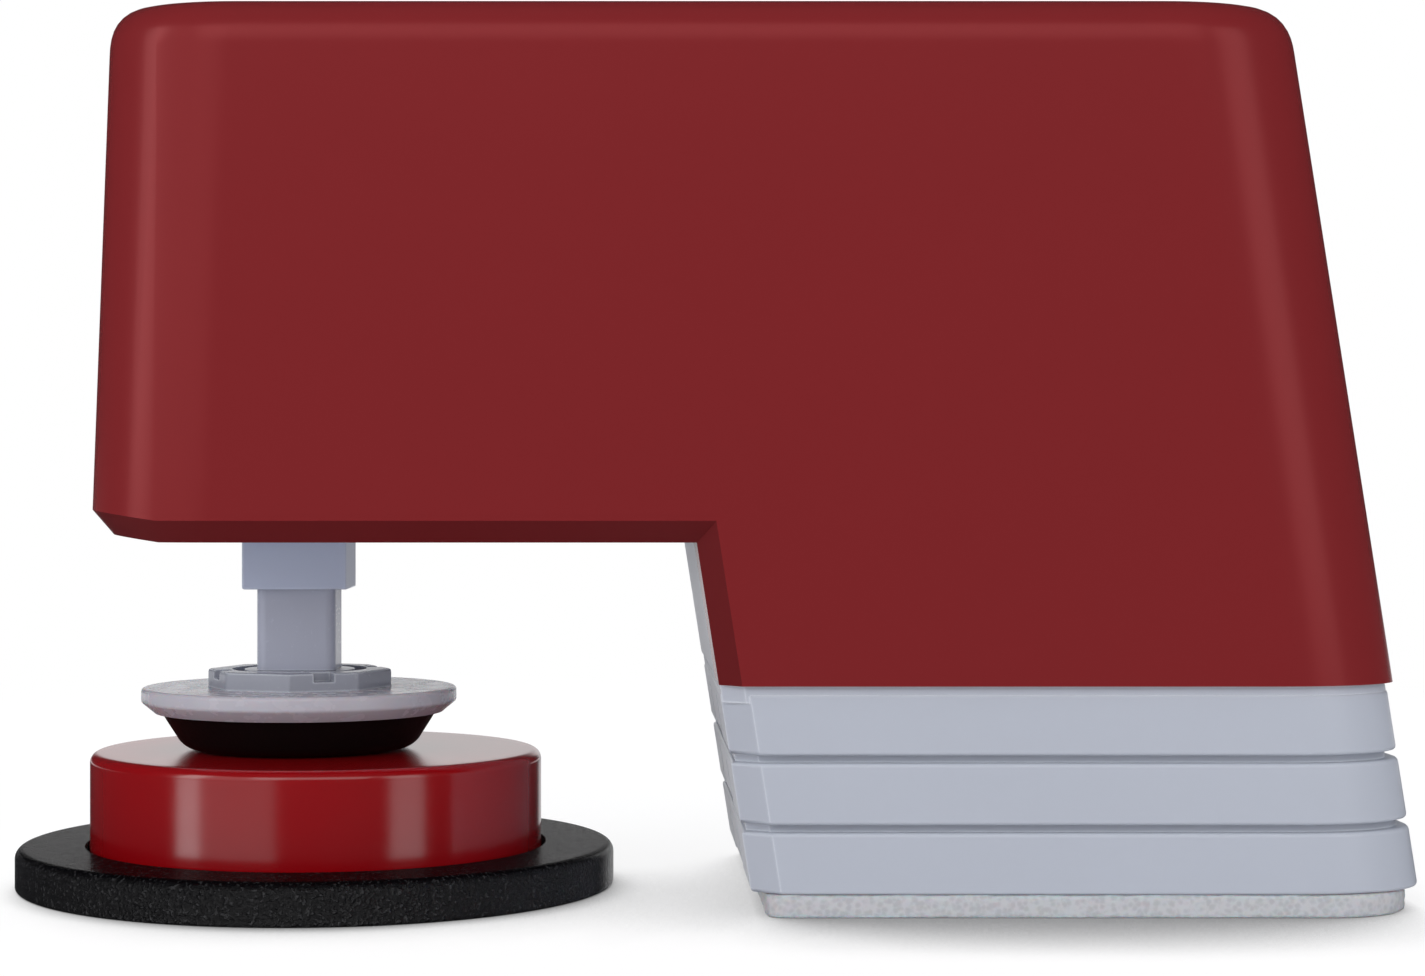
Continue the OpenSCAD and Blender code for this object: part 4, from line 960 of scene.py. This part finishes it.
def makeSpacer(level, name, node):
    s = spacerShape
    z0 = s["foam"] + level * (s["height"] + s["groove"])
    z1 = z0 + s["height"]
    z2 = z1 + s["groove"]
    bm = leaningBlock(spacerPlan(s["inset"], s["cutX"], s["cutY"]), z0, z1)
    bevelWhere(bm, lambda a, b: abs(a.z - b.z) < 1e-3, s["ease"], 3)
    piece = toObject(name, bm)
    neck = spacerPlan(s["inset"] + s["grooveDepth"][level], s["cutX"] - s["neckCut"], s["cutY"] - s["neckCut"])
    cutWith(piece, leaningBlock(neck, z1 - sunk, z2), "UNION")
    cutWith(piece, leaningBlock(tonguePlan(0), z2 - s["tongueSunk"], z2 + tongueShape["height"]), "UNION")
    cutWith(piece, leaningBlock(tonguePlan(tongueShape["gap"]), z0 - past, z0 + tongueShape["pocket"]))
    outside, inside = legSide((z0 + z1) / 2, -1) - 2 * past, legSide((z0 + z1) / 2, -1) + s["slotDepth"]
    half, slot = s["tabWidth"] / 2, s["slotWidth"] / 2
    for y in (-half, half):
        cutWith(piece, boxTool((outside, y - slot, z0 - past), (inside, y + slot, z1 - s["slotTop"])))
    cutWith(piece, boxTool((outside, -half, z0 - past), (inside, half, z0 + s["tabRise"])))
    dress(piece, "housingPlastic", "case", [node], 35)


for level, (name, node) in enumerate((("lowSpacer", "spacer_bottom"), ("midSpacer", "spacer_middle"),
                                      ("highSpacer", "spacer_top"))):
    makeSpacer(level, name, node)

foamShape = {
    "corner": 1.0, "step": 0.55, "waver": 0.07, "seed": 7,
    "rows": ((0.0, 0.16), (0.05, 0.05), (0.2, 0.0), (0.45, 0.0), (0.7, 0.0), (0.95, 0.0), (1.1, 0.03), (1.2, 0.12)),
}


def makeFoamPad():
    # die-cut gel foam: soft upper and lower edges, sides that waver a little
    s = foamShape
    low, high = (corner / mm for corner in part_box("foam_pad"))
    corners = [(low.x, low.y), (high.x, low.y), (high.x, high.y), (low.x, high.y)]
    rounds = ((s["corner"], 5), (spacerShape["roundDepth"], 14), (spacerShape["rearRound"], 8), (s["corner"], 5))
    plan = [(low.x, low.y + s["corner"])]
    for i, (radius, steps) in enumerate(rounds):
        plan += cornerPoints(corners[i - 1], corners[i], corners[(i + 1) % 4], radius, steps)
    dense = []
    for i, point in enumerate(plan):
        nextPoint = plan[(i + 1) % len(plan)]
        gap = math.dist(point, nextPoint)
        if gap < 1e-4:
            continue
        parts = max(1, round(gap / s["step"]))
        for k in range(parts):
            t = k / parts
            dense.append((point[0] + (nextPoint[0] - point[0]) * t, point[1] + (nextPoint[1] - point[1]) * t))
    centre = Vector(((low.x + high.x) / 2, (low.y + high.y) / 2))
    rng = random.Random(s["seed"])
    bm = bmesh.new()
    rings = []
    for height, inset in s["rows"]:
        ring = []
        for i, (x, y) in enumerate(dense):
            before, after = Vector(dense[i - 1]), Vector(dense[(i + 1) % len(dense)])
            along = (after - before).normalized()
            inward = Vector((-along.y, along.x))
            if inward.dot(centre - Vector((x, y))) < 0:
                inward = -inward
            draw = inset + s["waver"] * rng.random()
            ring.append(bm.verts.new((x + inward.x * draw, y + inward.y * draw, height)))
        rings.append(ring)
    for lower, upper in zip(rings, rings[1:]):
        joinRings(bm, lower, upper)
    bm.faces.new(rings[0][::-1])
    bm.faces.new(rings[-1])
    piece = toObject("foamPad", bm)
    dress(piece, "tapeFoam", "case", ["foam_pad"], 50)


makeFoamPad()
print("stage: spacers and foam pad")


# plunger

plungerShape = {"x": -42.7, "discLow": 9.65, "discHigh": 11.05, "stud": 1.6, "plug": 2.5, "plugHeight": 0.5}
discShape = {"radius": 8.85, "flat": 0.55, "rimFlat": 0.4, "rim": 0.22, "heel": (0.75, 0.62), "heelRound": 0.25,
             "plugGap": 0.1}


def makePressingDisc():
    s, d = plungerShape, discShape
    low, high, r, bore = s["discLow"], s["discHigh"], d["radius"], s["plug"] + d["plugGap"]
    inward, rise = d["heel"]
    profile = [(s["stud"], high), (r - d["flat"], high), (r - d["rimFlat"], high)]
    profile += cornerPoints((r - d["rimFlat"], high), (r, high), (r, low), d["rim"], 5)
    profile += cornerPoints((r, high), (r, low + rise), (r - inward, low), d["heelRound"], 4)
    profile += [(r - inward, low), (bore, low), (bore, low + s["plugHeight"]), (s["stud"], low + s["plugHeight"])]
    dress(toObject("pressingDisc", lathe(profile, (s["x"], 0), 160)), "discPlastic", "plunger", ["pressing_disc"],
          28)


bumperShape = {"low": 7.55, "knee": 6.3, "kneeRound": 1.5, "wide": 7.7, "lip": 0.5, "lipInset": (0.15, 0.30),
               "lipRound": 0.6, "plugPlay": 0.05}


def makeBumper():
    s, b = plungerShape, bumperShape
    low, top, knee, wide, lip = b["low"], s["discLow"], b["knee"], b["wide"], s["discLow"] - b["lip"]
    plugTop = top + s["plugHeight"] - b["plugPlay"]
    profile = [(0, low)]
    profile += cornerPoints((0, low), (knee, low), (wide - b["lipInset"][0], lip), b["kneeRound"], 10)
    profile += cornerPoints((knee, low), (wide - b["lipInset"][1], lip), (wide, top), b["lipRound"], 4)
    profile += [(wide, top), (s["plug"], top), (s["plug"], plugTop), (0, plugTop)]
    dress(toObject("rubberBumper", lathe(profile, (s["x"], 0), 160)), "bumperRubber", "plunger", ["rubber_bumper"],
          40)


nutShape = {
    "width": 9.6, "height": 1.0, "sideEase": 0.12, "rimEase": 0.16, "rimDepth": 0.1,
    "dish": 0.28, "dishRadius": 3.75, "dishTop": 3.9,
    "bore": 1.6, "hubInner": 1.7, "hubOuter": 3.1, "hubEase": (2.95, 0.02),
    "notchAt": 4.6, "notch": ((-0.7, -0.6), (1.2, -0.6), (1.2, 0.6), (-0.7, 0.6)),
}


def makeCollarNut():
    # eight sides, a raised rim and four spanner notches
    s = nutShape
    x, low = plungerShape["x"], plungerShape["discHigh"]
    top = low + s["height"]
    corner = s["width"] / 2 / math.cos(math.radians(22.5))
    bm = prism(bmesh.new(), circle((x, 0), corner, 8), low, top, "Z")
    bevelWhere(bm, lambda a, b: abs(a.z - b.z) > s["rimDepth"], s["sideEase"], 2)
    bevelWhere(bm, lambda a, b: min(a.z, b.z) > top - s["rimDepth"], s["rimEase"], 2)
    piece = toObject("collarNut", bm)
    floor = top - s["dish"]
    cutWith(piece, lathe([(0, floor), (s["dishRadius"], floor), (s["dishTop"], top + past), (0, top + past)],
                         (x, 0), 64))
    easeRadius, easeDrop = s["hubEase"]
    cutWith(piece, lathe([(s["hubInner"], top - sunk), (s["hubOuter"], top - sunk), (s["hubOuter"], top - easeDrop),
                          (easeRadius, top), (s["hubInner"], top)], (x, 0), 64), "UNION")
    cutWith(piece, lathe([(0, low - past), (s["bore"], low - past), (s["bore"], top + past), (0, top + past)],
                         (x, 0), 48))
    for a in range(0, 360, 90):
        turn = math.radians(a + 22.5)
        along, across = Vector((math.cos(turn), math.sin(turn))), Vector((-math.sin(turn), math.cos(turn)))
        centre = Vector((x, 0)) + along * s["notchAt"]
        plan = [tuple(centre + along * u + across * v) for u, v in s["notch"]]
        cutWith(piece, prism(bmesh.new(), plan, top - sunk, top + past, "Z"))
    dress(piece, "collarPlastic", "plunger", ["collar_nut"], 30)


makePressingDisc()
makeBumper()
makeCollarNut()
dress(softenedCopy("plungerStem", "plunger_stem", 0.05), "plungerPlastic", "plunger", ["plunger_stem"])
dress(softenedCopy("guideBlock", "guide_block", 0.12), "guidePlastic", "case", ["guide_block"])
print("stage: plunger")


# push button

buttonShape = {
    "x": -41.7, "ring": 16.745, "bore": 12.95, "ringTop": 2.3, "floor": 0.4, "clipPocket": 3.2, "tubeWithin": 8,
    "rounds": (0, 0.2, 0.55, 0.18),
    "cap": 12.65, "capTop": 7.5, "capFlat": 1.2, "capRound": 0.55, "capEdge": 2.0, "capInner": 11.45,
    "ceiling": 6.3, "post": 2.4,
}


def cornersOf(nodeName):
    # radius and height of each corner of a turned part of the frame
    return sorted({(round(math.hypot(v.co.x / mm - buttonShape["x"], v.co.y / mm), 2), round(v.co.z / mm, 2))
                   for v in nodes[nodeName].data.vertices})


def makeButtonBase():
    # the guide tube's radii and heights are the frame's own
    s = buttonShape
    rows = cornersOf("button_base")
    tubeTop = max(z for r, z in rows if r < s["tubeWithin"])
    tube = max(r for r, z in rows if z == tubeTop)
    guide = min(r for r, z in rows)
    pocketTop = min(z for r, z in rows if r == guide)
    profile = roundedPoints([(s["clipPocket"], 0), (s["ring"], 0), (s["ring"], s["ringTop"]),
                             (s["bore"], s["ringTop"])], s["rounds"], 7)
    profile += [(s["bore"], s["floor"]), (tube, s["floor"]), (tube, tubeTop), (guide, tubeTop),
                (guide, pocketTop), (s["clipPocket"], pocketTop)]
    dress(toObject("buttonBase", lathe(profile, (s["x"], 0), 192)), "ringPlastic", "case", ["button_base"],
          35)


def makeButtonCap():
    s = buttonShape
    top, edge = s["capTop"], s["capEdge"]
    postEnd = min(z for r, z in cornersOf("button_cap") if r < s["post"] + 0.1)
    profile = [(0, top), (s["cap"] - s["capFlat"], top)]
    profile += cornerPoints((0, top), (s["cap"], top), (s["cap"], edge), s["capRound"], 8)
    profile += [(s["cap"], edge), (s["capInner"], edge), (s["capInner"], s["ceiling"]),
                (s["post"], s["ceiling"]), (s["post"], postEnd), (0, postEnd)]
    dress(toObject("buttonCap", lathe(profile, (s["x"], 0), 192)), "capPlastic", "cap", ["button_cap"], 35)


springShape = {"wire": 0.5, "turns": 3, "steps": 28, "sides": 12, "clear": 0.02, "travel": 1.5}


def makeReturnSpring():
    # a wound wire that fills the frame's own spring
    low, high = (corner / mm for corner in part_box("return_spring"))
    s = springShape
    wire = s["wire"] / 2
    x = (low.x + high.x) / 2
    radius = (high.x - low.x) / 2 - wire
    start, end = low.z + wire + s["clear"], high.z - wire - s["clear"]
    bm = bmesh.new()
    rings = []
    count = s["turns"] * s["steps"]
    for i in range(count + 1):
        turn = math.tau * i / s["steps"]
        ring = []
        for j in range(s["sides"]):
            around = math.tau * j / s["sides"]
            out = radius + wire * math.cos(around)
            ring.append(bm.verts.new((x + out * math.cos(turn), out * math.sin(turn),
                                      start + (end - start) * i / count + wire * math.sin(around))))
        rings.append(ring)
    for before, after in zip(rings, rings[1:]):
        for j in range(s["sides"]):
            k = (j + 1) % s["sides"]
            bm.faces.new((before[j], after[j], after[k], before[k]))
    bm.faces.new(rings[0])
    bm.faces.new(rings[-1][::-1])
    piece = toObject("returnSpring", bm)
    dress(piece, "brightSteel", "case", ["return_spring"], 60)
    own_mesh(piece)


makeButtonBase()
makeButtonCap()
makeReturnSpring()
print("stage: push button")


# finishes of the parts that the frame itself shows

frameFinish = {
    "brightSteel": ("door_pin", "frame_screws", "output_axle", "middle_axle", "motor_shaft", "battery_contacts",
                    "cap_clip"),
    "gearAcetal": ("gear_frame", "frame_plate", "output_gear", "middle_gear"),
    "turnedBrass": ("motor_pinion", "motor_terminals"),
    "motorSteel": ("motor_can", "radio_module", "pairing_switch"),
    "keyPlastic": ("limit_switch",), "boardMask": ("circuit_board", "button_board"),
    "cellSleeve": ("battery",), "carbonRubber": ("contact_pill",),
}

for finish, nodeNames in frameFinish.items():
    for nodeName in nodeNames:
        for slotPlace in nodes[nodeName].material_slots:
            slotPlace.material = finishes[finish]
print("stage: frame finishes")

bpy.context.scene.view_settings.view_transform = "Standard"

bpy.context.view_layer.update()
